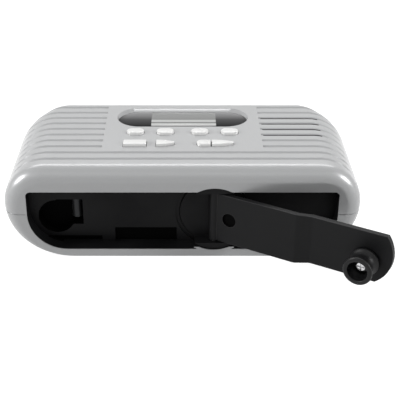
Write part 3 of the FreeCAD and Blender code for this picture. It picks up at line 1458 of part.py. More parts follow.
def check_and_write():
    doc.recompute()
    for piece in doc.Objects:
        if "Invalid" in piece.State or "Error" in piece.State:
            raise RuntimeError(f"{piece.Label} ({piece.Name}) failed: {piece.State}")
    os.makedirs("parts", exist_ok=True)
    for piece in parts:
        shape = piece.Shape
        if shape.isNull() or not shape.isValid() or not shape.Solids:
            raise RuntimeError(f"{piece.Label} has no valid solid")
        shape.exportStep(f"parts/{piece.Label}.step")
        box_ = shape.BoundBox
        print(f"{piece.Label:18s} solids {len(shape.Solids)} volume {shape.Volume:9.1f} "
              f"x {box_.XMin:7.2f} {box_.XMax:7.2f} y {box_.YMin:7.2f} {box_.YMax:7.2f} "
              f"z {box_.ZMin:7.2f} {box_.ZMax:7.2f}")
    print(len(parts), "sub-parts written")


make_case()
make_tub()
make_display()
make_keys()
make_board()
make_speaker()
make_hub()
make_arm()
make_knob()
make_gears()
make_generator()
make_batteries()
make_aerials()
make_jack()
make_case_screws()
check_and_write()
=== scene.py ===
import bpy
import json
from math import cos, radians, sin
from mathutils import Matrix, Vector

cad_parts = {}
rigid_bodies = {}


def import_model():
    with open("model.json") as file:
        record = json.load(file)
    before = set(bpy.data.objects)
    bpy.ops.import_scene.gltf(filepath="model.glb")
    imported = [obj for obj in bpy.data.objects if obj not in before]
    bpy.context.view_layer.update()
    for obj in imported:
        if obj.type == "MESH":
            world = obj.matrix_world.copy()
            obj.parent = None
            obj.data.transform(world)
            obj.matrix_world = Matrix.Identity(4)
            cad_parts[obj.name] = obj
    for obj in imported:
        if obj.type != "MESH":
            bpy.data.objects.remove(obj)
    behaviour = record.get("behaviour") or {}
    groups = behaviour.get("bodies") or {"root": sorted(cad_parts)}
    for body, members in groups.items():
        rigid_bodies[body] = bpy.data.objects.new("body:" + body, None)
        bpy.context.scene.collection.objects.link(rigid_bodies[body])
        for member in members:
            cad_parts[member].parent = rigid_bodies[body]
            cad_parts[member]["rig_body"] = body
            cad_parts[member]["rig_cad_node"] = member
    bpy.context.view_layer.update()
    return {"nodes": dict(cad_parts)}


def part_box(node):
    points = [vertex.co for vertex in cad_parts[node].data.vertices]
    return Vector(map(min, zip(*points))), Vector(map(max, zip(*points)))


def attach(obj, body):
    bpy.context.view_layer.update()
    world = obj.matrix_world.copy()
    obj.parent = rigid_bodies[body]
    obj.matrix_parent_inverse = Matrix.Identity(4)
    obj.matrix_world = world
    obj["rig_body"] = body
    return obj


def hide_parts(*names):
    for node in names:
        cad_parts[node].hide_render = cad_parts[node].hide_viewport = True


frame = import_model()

mm = 0.001
cadNodes = frame["nodes"]


def deselectAll():
    for ob in bpy.context.selected_objects:
        ob.select_set(False)


def makeActive(ob):
    deselectAll()
    ob.select_set(True)
    bpy.context.view_layer.objects.active = ob


deselectAll()
print("frame loaded:", len(cadNodes), "CAD nodes")

# Camera, at the photograph's angle

cameraSet = {
    "place": (0.0008, -0.48141, 0.27312),
    "pitch": 28.5555,       # degrees below level
    "lens": 85.5,
    "sensor": 36.0,
    "shiftX": 0.04,
    "clipStart": 0.01,
}


def addCamera():
    s = cameraSet
    bpy.ops.object.camera_add(location=s["place"], rotation=(radians(90 - s["pitch"]), 0, 0))
    cam = bpy.context.object
    cam.name = "photoCamera"
    cam.data.sensor_width = s["sensor"]
    cam.data.lens = s["lens"]
    cam.data.shift_x = s["shiftX"]
    cam.data.clip_start = s["clipStart"]
    bpy.context.scene.camera = cam
    print("camera placed")


# Shader groups shared by several finishes


def newGroup(name, inputs, outputs):
    group = bpy.data.node_groups.new(name, "ShaderNodeTree")
    for label, kind, value in inputs:
        socket = group.interface.new_socket(name=label, in_out="INPUT", socket_type=kind)
        if value is not None:
            socket.default_value = value
    for label, kind in outputs:
        group.interface.new_socket(name=label, in_out="OUTPUT", socket_type=kind)
    start = group.nodes.new("NodeGroupInput")
    end = group.nodes.new("NodeGroupOutput")
    return group, start, end


def addNode(tree, kind, **settings):
    node = tree.nodes.new(kind)
    for key, value in settings.items():
        if key in node.inputs.keys():
            node.inputs[key].default_value = value
        else:
            setattr(node, key, value)
    return node


def join(tree, output, target):
    tree.links.new(output, target)


def mathNode(tree, kind, a, b=None):
    node = addNode(tree, "ShaderNodeMath", operation=kind)
    for index, value in enumerate((a, b)):
        if value is None:
            continue
        if isinstance(value, (int, float)):
            node.inputs[index].default_value = value
        else:
            join(tree, value, node.inputs[index])
    return node.outputs[0]


grainSet = {"slowScale": 45.0, "unevenness": 0.3}
dustSet = {"patch": 90.0, "from": 0.42, "to": 0.75}
scuffSet = {"density": 130.0, "stretch": (0.12, 1.0, 1.6), "turn": (0.2, 0.1, 0.35), "from": 0.6, "to": 0.78}
flakeSet = {"size": 4500.0, "lift": 1.7}


def spreadRange(tree, value, low, high):
    # 0 up to low, 1 from high on
    spread = addNode(tree, "ShaderNodeMapRange")
    spread.inputs["From Min"].default_value = low
    spread.inputs["From Max"].default_value = high
    join(tree, value, spread.inputs["Value"])
    return spread


def buildMouldGrain():
    # Fine spark-eroded grain of a moulded surface, with a slow unevenness below it
    group, start, end = newGroup(
        "mouldGrain",
        [("Scale", "NodeSocketFloat", 2200.0), ("Unevenness", "NodeSocketFloat", grainSet["unevenness"])],
        [("Height", "NodeSocketFloat"), ("Mottle", "NodeSocketFloat")],
    )
    coords = addNode(group, "ShaderNodeTexCoord")
    fine = addNode(group, "ShaderNodeTexNoise", Detail=3.0, Roughness=0.6)
    slow = addNode(group, "ShaderNodeTexNoise", Scale=grainSet["slowScale"], Detail=2.0, Roughness=0.5)
    join(group, coords.outputs["Object"], fine.inputs["Vector"])
    join(group, coords.outputs["Object"], slow.inputs["Vector"])
    join(group, start.outputs["Scale"], fine.inputs["Scale"])
    lifted = mathNode(group, "MULTIPLY", slow.outputs["Fac"], start.outputs["Unevenness"])
    join(group, mathNode(group, "ADD", fine.outputs["Fac"], lifted), end.inputs["Height"])
    join(group, slow.outputs["Fac"], end.inputs["Mottle"])
    return group


def buildDust():
    # Thin dust that lies on faces that look up, broken into faint patches
    group, start, end = newGroup(
        "lyingDust",
        [("Amount", "NodeSocketFloat", 0.1), ("Patch", "NodeSocketFloat", dustSet["patch"])],
        [("Mask", "NodeSocketFloat")],
    )
    shape = addNode(group, "ShaderNodeNewGeometry")
    split = addNode(group, "ShaderNodeSeparateXYZ")
    join(group, shape.outputs["Normal"], split.inputs[0])
    up = mathNode(group, "MAXIMUM", split.outputs["Z"], 0.0)
    coords = addNode(group, "ShaderNodeTexCoord")
    patch = addNode(group, "ShaderNodeTexNoise", Detail=5.0, Roughness=0.7)
    join(group, coords.outputs["Object"], patch.inputs["Vector"])
    join(group, start.outputs["Patch"], patch.inputs["Scale"])
    spread = spreadRange(group, patch.outputs["Fac"], dustSet["from"], dustSet["to"])
    lying = mathNode(group, "MULTIPLY", up, spread.outputs["Result"])
    join(group, mathNode(group, "MULTIPLY", lying, start.outputs["Amount"]), end.inputs["Mask"])
    return group


def buildScuffs():
    # Short fine rub marks, stretched along the length of the radio
    group, start, end = newGroup(
        "rubMarks",
        [("Amount", "NodeSocketFloat", 0.2), ("Density", "NodeSocketFloat", scuffSet["density"])],
        [("Mask", "NodeSocketFloat")],
    )
    coords = addNode(group, "ShaderNodeTexCoord")
    stretch = addNode(group, "ShaderNodeMapping")
    stretch.inputs["Scale"].default_value = scuffSet["stretch"]
    stretch.inputs["Rotation"].default_value = scuffSet["turn"]
    join(group, coords.outputs["Object"], stretch.inputs["Vector"])
    marks = addNode(group, "ShaderNodeTexNoise", Detail=6.0, Roughness=0.8)
    join(group, stretch.outputs["Vector"], marks.inputs["Vector"])
    join(group, start.outputs["Density"], marks.inputs["Scale"])
    cutOff = spreadRange(group, marks.outputs["Fac"], scuffSet["from"], scuffSet["to"])
    rubbed = mathNode(group, "MULTIPLY", cutOff.outputs["Result"], start.outputs["Amount"])
    join(group, rubbed, end.inputs["Mask"])
    return group


def buildFlake():
    # Aluminium flakes in silver paint: tiny cells that differ a little in brightness
    group, start, end = newGroup(
        "paintFlake",
        [("Size", "NodeSocketFloat", flakeSet["size"])],
        [("Spark", "NodeSocketFloat")],
    )
    coords = addNode(group, "ShaderNodeTexCoord")
    cells = addNode(group, "ShaderNodeTexVoronoi")
    join(group, coords.outputs["Object"], cells.inputs["Vector"])
    join(group, start.outputs["Size"], cells.inputs["Scale"])
    split = addNode(group, "ShaderNodeSeparateColor")
    join(group, cells.outputs["Color"], split.inputs[0])
    join(group, split.outputs[0], end.inputs["Spark"])
    return group


mouldGrain = buildMouldGrain()
lyingDust = buildDust()
rubMarks = buildScuffs()
paintFlake = buildFlake()
print("shader groups built")

# Finishes. Colours are linear; "pale" is the worn or dusty tone of each, and "gloss" is set only where
# a dull black moulding throws back far less of the room than other plastics do

finishSet = {
    "silverPaint": {
        "colour": (0.43, 0.435, 0.44), "pale": (0.52, 0.525, 0.53), "metallic": 0.2, "rough": 0.34,
        "roughSwing": 0.02, "bump": 0.02, "grain": 1900.0, "dust": 0.02, "rub": 0.02,
        "flake": 0.08, "coat": 0.45,
    },
    # lighter copy of the silver paint for eased edges: painted highlight along the edges, with some rub wear
    "silverEdgeHighlight": {
        "colour": (0.86, 0.865, 0.87), "pale": (0.9, 0.9, 0.9), "metallic": 0.3, "rough": 0.22,
        "roughSwing": 0.05, "bump": 0.01, "grain": 1900.0, "dust": 0.0, "rub": 0.1,
        "flake": 0.05, "coat": 0.25,
    },
    "blackMould": {
        "colour": (0.0045, 0.0045, 0.005), "pale": (0.02, 0.02, 0.02), "metallic": 0.0, "rough": 0.52,
        "roughSwing": 0.1, "bump": 0.06, "grain": 1500.0, "dust": 0.1, "rub": 0.08, "gloss": 0.14,
    },
    # near black for faces deep in the crank pockets and in the arm's dimple: painted shade
    "paintedPocketShade": {
        "colour": (0.001, 0.001, 0.001), "pale": (0.004, 0.004, 0.004), "metallic": 0.0, "rough": 0.7,
        "roughSwing": 0.1, "bump": 0.06, "grain": 1500.0, "dust": 0.1, "rub": 0.0, "gloss": 0.03,
    },
    "armBlack": {
        "colour": (0.005, 0.0051, 0.0056), "pale": (0.028, 0.028, 0.028), "metallic": 0.0, "rough": 0.46,
        "roughSwing": 0.1, "bump": 0.05, "grain": 1700.0, "dust": 0.12, "rub": 0.22, "gloss": 0.16,
    },
    # lighter copy of the arm's black for its eased edges: painted highlight, with rub wear
    "armEdgeHighlight": {
        "colour": (0.014, 0.014, 0.015), "pale": (0.05, 0.05, 0.05), "metallic": 0.0, "rough": 0.36,
        "roughSwing": 0.08, "bump": 0.03, "grain": 1700.0, "dust": 0.0, "rub": 0.3, "gloss": 0.3,
    },
    "knobBlack": {
        "colour": (0.0055, 0.0055, 0.006), "pale": (0.03, 0.03, 0.03), "metallic": 0.0, "rough": 0.4,
        "roughSwing": 0.12, "bump": 0.04, "grain": 1700.0, "dust": 0.05, "rub": 0.35, "gloss": 0.25,
    },
    "keyWhite": {
        "colour": (0.92, 0.92, 0.91), "pale": (0.72, 0.71, 0.68), "metallic": 0.0, "rough": 0.26,
        "roughSwing": 0.05, "bump": 0.008, "grain": 1200.0, "dust": 0.03, "rub": 0.05, "coat": 0.3,
    },
    "pegGrey": {
        "colour": (0.03, 0.031, 0.033), "pale": (0.06, 0.06, 0.06), "metallic": 0.2, "rough": 0.42,
        "roughSwing": 0.08, "bump": 0.03, "grain": 1500.0, "dust": 0.05, "rub": 0.15, "gloss": 0.3,
    },
    "plated": {
        "colour": (0.62, 0.62, 0.63), "pale": (0.4, 0.4, 0.4), "metallic": 1.0, "rough": 0.2,
        "roughSwing": 0.12, "bump": 0.01, "grain": 2500.0, "dust": 0.0, "rub": 0.3,
    },
    "chromeTube": {
        "colour": (0.46, 0.465, 0.48), "pale": (0.36, 0.36, 0.37), "metallic": 1.0, "rough": 0.14,
        "roughSwing": 0.08, "bump": 0.0, "grain": 2500.0, "dust": 0.0, "rub": 0.2,
    },
    "turnedBrass": {
        "colour": (0.6, 0.42, 0.14), "pale": (0.35, 0.24, 0.1), "metallic": 1.0, "rough": 0.28,
        "roughSwing": 0.1, "bump": 0.02, "grain": 2500.0, "dust": 0.0, "rub": 0.2,
    },
    "naturalNylon": {
        "colour": (0.72, 0.71, 0.66), "pale": (0.5, 0.48, 0.42), "metallic": 0.0, "rough": 0.42,
        "roughSwing": 0.08, "bump": 0.02, "grain": 1200.0, "dust": 0.0, "rub": 0.15,
    },
    "ferrite": {
        "colour": (0.035, 0.034, 0.036), "pale": (0.07, 0.07, 0.07), "metallic": 0.3, "rough": 0.6,
        "roughSwing": 0.1, "bump": 0.12, "grain": 2600.0, "dust": 0.05, "rub": 0.1,
    },
    "copperWire": {
        "colour": (0.45, 0.16, 0.06), "pale": (0.25, 0.09, 0.04), "metallic": 1.0, "rough": 0.3,
        "roughSwing": 0.1, "bump": 0.0, "grain": 2000.0, "dust": 0.0, "rub": 0.1, "coat": 0.3,
    },
    "boardGreen": {
        "colour": (0.012, 0.085, 0.032), "pale": (0.12, 0.16, 0.06), "metallic": 0.0, "rough": 0.35,
        "roughSwing": 0.06, "bump": 0.03, "grain": 700.0, "dust": 0.05, "rub": 0.1, "coat": 0.4,
    },
    # black speaker paper, also laid on the speaker slots' walls as painted shade
    "speakerPaperAndSlotShade": {
        "colour": (0.018, 0.018, 0.018), "pale": (0.05, 0.05, 0.05), "metallic": 0.0, "rough": 0.85,
        "roughSwing": 0.1, "bump": 0.2, "grain": 1400.0, "dust": 0.2, "rub": 0.0, "gloss": 0.1,
    },
    "cellSleeve": {
        "colour": (0.17, 0.18, 0.2), "pale": (0.3, 0.3, 0.3), "metallic": 0.6, "rough": 0.3,
        "roughSwing": 0.05, "bump": 0.01, "grain": 900.0, "dust": 0.0, "rub": 0.1, "coat": 0.4,
    },
    "packBlue": {
        "colour": (0.02, 0.06, 0.2), "pale": (0.08, 0.12, 0.25), "metallic": 0.0, "rough": 0.28,
        "roughSwing": 0.08, "bump": 0.03, "grain": 500.0, "dust": 0.0, "rub": 0.1, "coat": 0.3,
    },
}

wearSet = {
    "mottle": (0.3, 0.7),       # the grain's mottle that gives the lowest and highest roughness
    "wornRough": 0.25,
    "bumpDepth": 0.0003,
    "gloss": 0.5,
    "coatRough": 0.18,
}


def mixColour(tree, factor, first, second):
    node = addNode(tree, "ShaderNodeMix", data_type="RGBA")
    join(tree, factor, node.inputs["Factor"])
    colours = [i for i in node.inputs if i.type == "RGBA"]
    for socket, value in zip(colours, (first, second)):
        if isinstance(value, tuple):
            socket.default_value = (*value, 1.0)
        else:
            join(tree, value, socket)
    return next(o for o in node.outputs if o.type == "RGBA")


def placeGroup(tree, group, **values):
    node = tree.nodes.new("ShaderNodeGroup")
    node.node_tree = group
    for label, value in values.items():
        node.inputs[label].default_value = value
    return node


def makeFinish(name):
    s = finishSet[name]
    mat = bpy.data.materials.new(name)
    mat.use_nodes = True
    tree = mat.node_tree
    shader = tree.nodes["Principled BSDF"]
    grain = placeGroup(tree, mouldGrain, Scale=s["grain"], Unevenness=grainSet["unevenness"])
    dust = placeGroup(tree, lyingDust, Amount=s["dust"], Patch=dustSet["patch"])
    rub = placeGroup(tree, rubMarks, Amount=s["rub"], Density=scuffSet["density"])
    worn = mathNode(tree, "MAXIMUM", dust.outputs["Mask"], rub.outputs["Mask"])
    colour = mixColour(tree, worn, s["colour"], s["pale"])
    if "flake" in s:
        flake = placeGroup(tree, paintFlake, Size=flakeSet["size"])
        share = mathNode(tree, "MULTIPLY", flake.outputs["Spark"], s["flake"])
        bright = tuple(min(1.0, c * flakeSet["lift"]) for c in s["colour"])
        colour = mixColour(tree, share, colour, bright)
    join(tree, colour, shader.inputs["Base Color"])
    swing = spreadRange(tree, grain.outputs["Mottle"], *wearSet["mottle"])
    swing.inputs["To Min"].default_value = s["rough"] - s["roughSwing"]
    swing.inputs["To Max"].default_value = s["rough"] + s["roughSwing"]
    rougher = mathNode(tree, "MULTIPLY", worn, wearSet["wornRough"])
    join(tree, mathNode(tree, "ADD", swing.outputs["Result"], rougher), shader.inputs["Roughness"])
    if s["bump"]:
        bump = addNode(tree, "ShaderNodeBump", Strength=s["bump"], Distance=wearSet["bumpDepth"])
        join(tree, grain.outputs["Height"], bump.inputs["Height"])
        join(tree, bump.outputs["Normal"], shader.inputs["Normal"])
    shader.inputs["Metallic"].default_value = s["metallic"]
    shader.inputs["Specular IOR Level"].default_value = s.get("gloss", wearSet["gloss"])
    shader.inputs["Coat Weight"].default_value = s.get("coat", 0.0)
    shader.inputs["Coat Roughness"].default_value = wearSet["coatRough"]
    return mat


finishes = {name: makeFinish(name) for name in finishSet}

lcdSet = {
    "near": (0.19, 0.195, 0.19),
    "far": (0.27, 0.275, 0.27),
    # the stripes are painted reflection
    "stripe": (0.6, 0.61, 0.6),
    "stripes": ((18.8, 1.5), (23.6, 1.6)),     # place and half height along Y, mm
    "span": (13.0, 36.0),
    "edge": (1.1, 0.85),                       # a stripe fades between these shares of its half height
    "cellLines": 420.0,
    "lineShade": 0.12,
    "rough": 0.2,
    "gloss": 0.3,
}
# lens tones from its near to its far side; the lighter far side is painted reflection
lensSet = {
    "near": (0.003, 0.003, 0.0035),
    "middle": (0.07, 0.07, 0.072),
    "far": (0.34, 0.34, 0.345),
    "span": (15.0, 36.3),
    "middlePlace": 0.5,
    "rough": 0.12,
    "gloss": 0.05,
}


def acrossY(tree, span):
    # 0 at the near end of a span along Y, 1 at its far end
    coords = addNode(tree, "ShaderNodeTexCoord")
    split = addNode(tree, "ShaderNodeSeparateXYZ")
    join(tree, coords.outputs["Object"], split.inputs[0])
    spread = spreadRange(tree, split.outputs["Y"], span[0] * mm, span[1] * mm)
    return coords, split, spread.outputs["Result"]


def newShader(name):
    mat = bpy.data.materials.new(name)
    mat.use_nodes = True
    return mat, mat.node_tree, mat.node_tree.nodes["Principled BSDF"]


def makeLcdFinish():
    # A grey reflective panel, lighter towards its far side, with two lighter stripes of painted reflection
    # and fine cell lines
    s = lcdSet
    mat, tree, shader = newShader("lcdGrey")
    coords, split, share = acrossY(tree, s["span"])
    total = None
    for place, half in s["stripes"]:
        away = mathNode(tree, "ABSOLUTE", mathNode(tree, "SUBTRACT", split.outputs["Y"], place * mm))
        edge = addNode(tree, "ShaderNodeMapRange", interpolation_type="SMOOTHSTEP")
        edge.inputs["From Min"].default_value = half * s["edge"][0] * mm
        edge.inputs["From Max"].default_value = half * s["edge"][1] * mm
        join(tree, away, edge.inputs["Value"])
        band = edge.outputs["Result"]
        total = band if total is None else mathNode(tree, "MAXIMUM", total, band)
    lines = addNode(tree, "ShaderNodeTexWave", Scale=s["cellLines"], Distortion=0.0)
    join(tree, coords.outputs["Object"], lines.inputs["Vector"])
    faint = mathNode(tree, "MULTIPLY", lines.outputs["Fac"], s["lineShade"])
    lit = mathNode(tree, "SUBTRACT", total, mathNode(tree, "MULTIPLY", faint, total))
    plain = mixColour(tree, share, s["near"], s["far"])
    join(tree, mixColour(tree, lit, plain, s["stripe"]), shader.inputs["Base Color"])
    shader.inputs["Roughness"].default_value = s["rough"]
    shader.inputs["Specular IOR Level"].default_value = s["gloss"]
    return mat


def makeLensFinish():
    # Smoked clear plastic, nearly black at its near side and lighter towards the far one: the lighter far
    # side is painted reflection
    s = lensSet
    mat, tree, shader = newShader("smokedLens")
    share = acrossY(tree, s["span"])[2]
    ramp = addNode(tree, "ShaderNodeValToRGB")
    ramp.color_ramp.elements[0].color = (*s["near"], 1)
    ramp.color_ramp.elements[1].color = (*s["far"], 1)
    ramp.color_ramp.elements.new(s["middlePlace"]).color = (*s["middle"], 1)
    join(tree, share, ramp.inputs["Fac"])
    join(tree, ramp.outputs["Color"], shader.inputs["Base Color"])
    shader.inputs["Roughness"].default_value = s["rough"]
    shader.inputs["Specular IOR Level"].default_value = s["gloss"]
    return mat


finishes["smokedLens"] = makeLensFinish()
finishes["lcdGrey"] = makeLcdFinish()
print("finishes made:", len(finishes))

# Pieces that keep the shape of their CAD part, with merged faces and eased edges

easedSet = {
    # CAD node: (finish, edge finish, edge radius in mm, body)
    # the lighter edge finishes of the silver shells and of the crank paint highlights onto their eased edges
    "top_cover": ("silverPaint", "silverEdgeHighlight", 0.28, "case"),
    "bottom_cover": ("silverPaint", "silverEdgeHighlight", 0.25, "case"),
    "crank_tub": ("blackMould", "blackMould", 0.3, "case"),
    "pocket_peg": ("pegGrey", "pegGrey", 0.35, "case"),
    "crank_hub": ("blackMould", "armEdgeHighlight", 0.35, "crank"),
    "crank_arm": ("armBlack", "armEdgeHighlight", 0.35, "arm"),
    "battery_door": ("silverPaint", "silverEdgeHighlight", 0.25, "case"),
    "antenna_base": ("chromeTube", "plated", 0.2, "antenna"),
    "antenna_tube_1": ("chromeTube", "plated", 0.12, "antenna"),
    "antenna_tube_2": ("chromeTube", "plated", 0.1, "antenna_second"),
    "antenna_tube_3": ("chromeTube", "plated", 0.08, "antenna_third"),
    "antenna_rod": ("chromeTube", "plated", 0.35, "antenna_tip"),
    "earphone_jack": ("blackMould", "blackMould", 0.2, "case"),
    "case_screws": ("plated", "plated", 0.15, "case"),
    "knob_screw": ("plated", "plated", 0.12, "arm"),
    "hinge_pin": ("plated", "plated", 0.2, "crank"),
}
easeSet = {
    "merge": 0.002,        # mm between points that become one
    "flat": 0.05,          # degrees between faces that become one
    "sharp": 34,           # degrees from which an edge is eased
    "segments": 2,
    "smooth": 28,
    "weight": 80,
}


def copyOf(node):
    # A free copy of a CAD node's mesh, with doubled points and level faces merged
    makeActive(cadNodes[node])
    bpy.ops.object.duplicate()
    ob = bpy.context.object
    ob.parent = None
    ob.matrix_world = Matrix.Identity(4)
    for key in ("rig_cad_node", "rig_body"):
        if key in ob:
            del ob[key]
    ob.data.materials.clear()
    bpy.ops.object.mode_set(mode="EDIT")
    bpy.ops.mesh.select_all(action="SELECT")
    bpy.ops.mesh.remove_doubles(threshold=easeSet["merge"] * mm)
    bpy.ops.mesh.dissolve_limited(angle_limit=radians(easeSet["flat"]))
    bpy.ops.object.mode_set(mode="OBJECT")
    return ob


def easedCopy(node):
    finish, edgeFinish, radius, body = easedSet[node]
    ob = copyOf(node)
    ob.name = ob.data.name = "eased_" + node
    ob.data.materials.append(finishes[finish])
    ob.data.materials.append(finishes[edgeFinish])
    bevel = ob.modifiers.new("easedEdges", "BEVEL")
    bevel.width = radius * mm
    bevel.segments = easeSet["segments"]
    bevel.limit_method = "ANGLE"
    bevel.angle_limit = radians(easeSet["sharp"])
    bevel.use_clamp_overlap = True
    bevel.material = 1
    bpy.ops.object.modifier_apply(modifier=bevel.name)
    bpy.ops.object.shade_smooth_by_angle(angle=radians(easeSet["smooth"]))
    levelled = ob.modifiers.new("levelledNormals", "WEIGHTED_NORMAL")
    levelled.keep_sharp = True
    levelled.weight = easeSet["weight"]
    bpy.ops.object.modifier_apply(modifier=levelled.name)
    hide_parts(node)
    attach(ob, body)
    return ob


eased = {node: easedCopy(node) for node in easedSet}
print("eased copies made:", len(eased))

# Arm: where its hinge is at rest and how far it stands out, shared by its dimple and its knob

armSet = {
    "hinge": (17.0, -38.0, 22.5),
    "splay": 30.0,
    "dimple": {"along": 9.5, "radius": 3.95, "deep": 0.2, "shallow": 1.22},
}


def armAxes():
    turn = radians(armSet["splay"])
    along = Vector((cos(turn), -sin(turn), 0))
    out = Vector((-sin(turn), -cos(turn), 0))
    return along, out


# Faces of the eased copies deep in the crank pockets, in the arm's dimple and on the speaker slots' walls
# get a darker finish: painted shade

slotSet = {"left": 44.6, "right": 78.4, "near": -1.0, "far": 27.0, "low": 47.0, "high": 51.0, "steep": 0.3}
pocketSet = {"left": -90.0, "right": -4.0, "near": -33.9, "far": -25.0, "low": 3.0, "high": 41.0}


def inBox(face, s):
    x, y, z = (v / mm for v in face.center)
    return s["left"] < x < s["right"] and s["near"] < y < s["far"] and s["low"] < z < s["high"]


def inSlot(face):
    return abs(face.normal.z) < slotSet["steep"] and inBox(face, slotSet)


def inPocket(face):
    return inBox(face, pocketSet)


def inDimple(face):
    s = armSet["dimple"]
    along, out = armAxes()
    place = face.center / mm - Vector(armSet["hinge"])
    aside = Vector((place.dot(along) - s["along"], place.z))
    return aside.length < s["radius"] and s["deep"] < place.dot(out) < s["shallow"]


def darken(node, finish, test):
    mesh = eased[node].data
    mesh.materials.append(finishes[finish])
    for face in mesh.polygons:
        if test(face):
            face.material_index = len(mesh.materials) - 1


darken("crank_arm", "paintedPocketShade", inDimple)
darken("crank_tub", "paintedPocketShade", inPocket)
# the speaker slots' walls take the black speaker paper finish: painted shade inside the slots
darken("top_cover", "speakerPaperAndSlotShade", inSlot)
print("deep faces darkened")

# Inner parts keep their CAD mesh and get their finish only

innerSet = {
    "display_holder": "naturalNylon",
    "main_board": "boardGreen",
    "board_screws": "plated",
    "key_switches": "blackMould",
    "speaker_frame": "plated",
    "speaker_magnet": "ferrite",
    "speaker_cone": "speakerPaperAndSlotShade",
    "speaker_gauze": "speakerPaperAndSlotShade",
    "speaker_screws": "plated",
    "shaft_clip": "plated",
    "front_bush": "turnedBrass",
    "rear_bush": "turnedBrass",
    "crank_gear": "naturalNylon",
    "idler_gear": "naturalNylon",
    "idler_pin": "plated",
    "rotor": "ferrite",
    "generator_can": "plated",
    "generator_coil": "copperWire",
    "gearbox_plate": "blackMould",
    "gearbox_screws": "plated",
    "battery_cell_1": "cellSleeve",
    "battery_cell_2": "cellSleeve",
    "battery_cell_3": "cellSleeve",
    "battery_contacts": "plated",
    "backup_battery": "packBlue",
    "ferrite_rod": "ferrite",
    "aerial_coil": "copperWire",
    "antenna_pin": "plated",
    "display_panel": "lcdGrey",
}
for node, finish in innerSet.items():
    slots = cadNodes[node].material_slots
    if not slots:
        cadNodes[node].data.materials.append(finishes[finish])
    for slot in slots:
        slot.material = finishes[finish]
print("inner parts finished:", len(innerSet))

# Modelling helpers


def selectFaces(ob, keep):
    # Select faces of the active object in edit mode by a test on centre and normal
    bpy.ops.object.mode_set(mode="OBJECT")
    for vert in ob.data.vertices:
        vert.select = False
    for edge in ob.data.edges:
        edge.select = False
    for face in ob.data.polygons:
        face.select = keep(face.center, face.normal)
    bpy.ops.object.mode_set(mode="EDIT")
    bpy.ops.mesh.select_mode(type="FACE")


def settle(ob, name, finish, body, nodes, angle=35):
    # Put the place into the mesh, smooth, name, finish and hang it on its body
    makeActive(ob)
    bpy.ops.object.transform_apply(location=True, rotation=True, scale=True)
    bpy.ops.object.shade_smooth_by_angle(angle=radians(angle))
    ob.name = ob.data.name = name
    if not ob.data.materials:
        ob.data.materials.append(finishes[finish])
    if nodes:
        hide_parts(*nodes)
    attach(ob, body)
    return ob


def applyModifier(ob, kind, **settings):
    mod = ob.modifiers.new(kind.lower(), kind)
    for key, value in settings.items():
        setattr(mod, key, value)
    makeActive(ob)
    bpy.ops.object.modifier_apply(modifier=mod.name)


# Keys: each cap is its CAD outline with an eased top edge

keySet = {"edge": 0.4, "segments": 3, "topBand": 0.1, "level": 0.9, "smooth": 40}
keyNodes = ["key_oval_1", "key_oval_2", "key_oval_3", "key_oval_4", "key_wide", "key_arrow",
            "key_tune_down", "key_tune_up"]


def makeKey(node):
    ob = copyOf(node)
    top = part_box(node)[1].z
    topLow = top - keySet["topBand"] * mm
    selectFaces(ob, lambda centre, normal: normal.z > keySet["level"] and centre.z > topLow)
    bpy.ops.mesh.bevel(offset=keySet["edge"] * mm, segments=keySet["segments"], affect="EDGES",
                       clamp_overlap=True)
    bpy.ops.object.mode_set(mode="OBJECT")
    settle(ob, "cap_" + node, "keyWhite", node, [node], angle=keySet["smooth"])


for node in keyNodes:
    makeKey(node)
print("keys capped:", len(keyNodes))

# Display: a smoked lens and the grey panel seen through it

displaySet = {
    "pane": (-18.0, 19.2, 16.0, 35.9),     # left, right, near, far
    "thick": 0.4,
    "proud": 0.03,
    "lensEdge": 0.25,
    "lensSegments": 3,
    "lensSharp": 40,                       # degrees from which the lens's edges are rounded
    "paneEdge": 0.02,
    "paneSegments": 2,
}


def makeDisplay():
    s = displaySet
    lens = copyOf("display_window")
    applyModifier(lens, "BEVEL", width=s["lensEdge"] * mm, segments=s["lensSegments"],
                  limit_method="ANGLE", angle_limit=radians(s["lensSharp"]))
    settle(lens, "displayLens", "smokedLens", "case", ["display_window"])
    left, right, near, far = (v * mm for v in s["pane"])
    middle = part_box("display_window")[1].z + (s["proud"] - s["thick"] / 2) * mm
    bpy.ops.mesh.primitive_cube_add(size=1, location=((left + right) / 2, (near + far) / 2, middle),
                                    scale=(right - left, far - near, s["thick"] * mm))
    pane = bpy.context.object
    applyModifier(pane, "BEVEL", width=s["paneEdge"] * mm, segments=s["paneSegments"])
    settle(pane, "displayPane", "lcdGrey", "case", [])


makeDisplay()
print("display made")

# Knob: rings extruded one after another along the knob's axis

knobSet = {
    "vertices": 64,
    "reach": 85.0,         # from the arm's hinge
    "drop": 2.85,
    "face": -1.7,          # the stepped arm's outer face, from its hinge
    "smooth": 50,
    # (height above the arm's face, radius), from the arm outwards and then down the bore
    "rings": (
        (0.4, 1.95), (0.4, 7.0), (0.62, 7.45), (1.0, 7.6), (1.7, 7.6), (2.05, 7.4), (2.6, 6.75),
        (3.4, 6.1), (4.4, 5.72), (5.6, 5.6), (6.8, 5.62), (8.0, 5.78), (9.0, 6.15), (9.7, 6.75),
        (10.2, 7.3), (10.7, 7.58), (11.3, 7.6), (11.75, 7.45), (12.0, 7.0), (12.0, 5.55), (11.8, 5.25),
        (11.2, 5.15), (6.0, 4.4), (4.7, 4.15), (4.4, 4.0), (4.4, 1.95),
    ),
}


def armFrame():
    s = knobSet
    along, out = armAxes()
    up = Vector((0, 0, 1))
    place = Vector(armSet["hinge"]) + along * s["reach"] - up * s["drop"] + out * s["face"]
    columns = Matrix((along, up, out)).transposed()
    return Matrix.Translation(place * mm) @ columns.to_4x4()


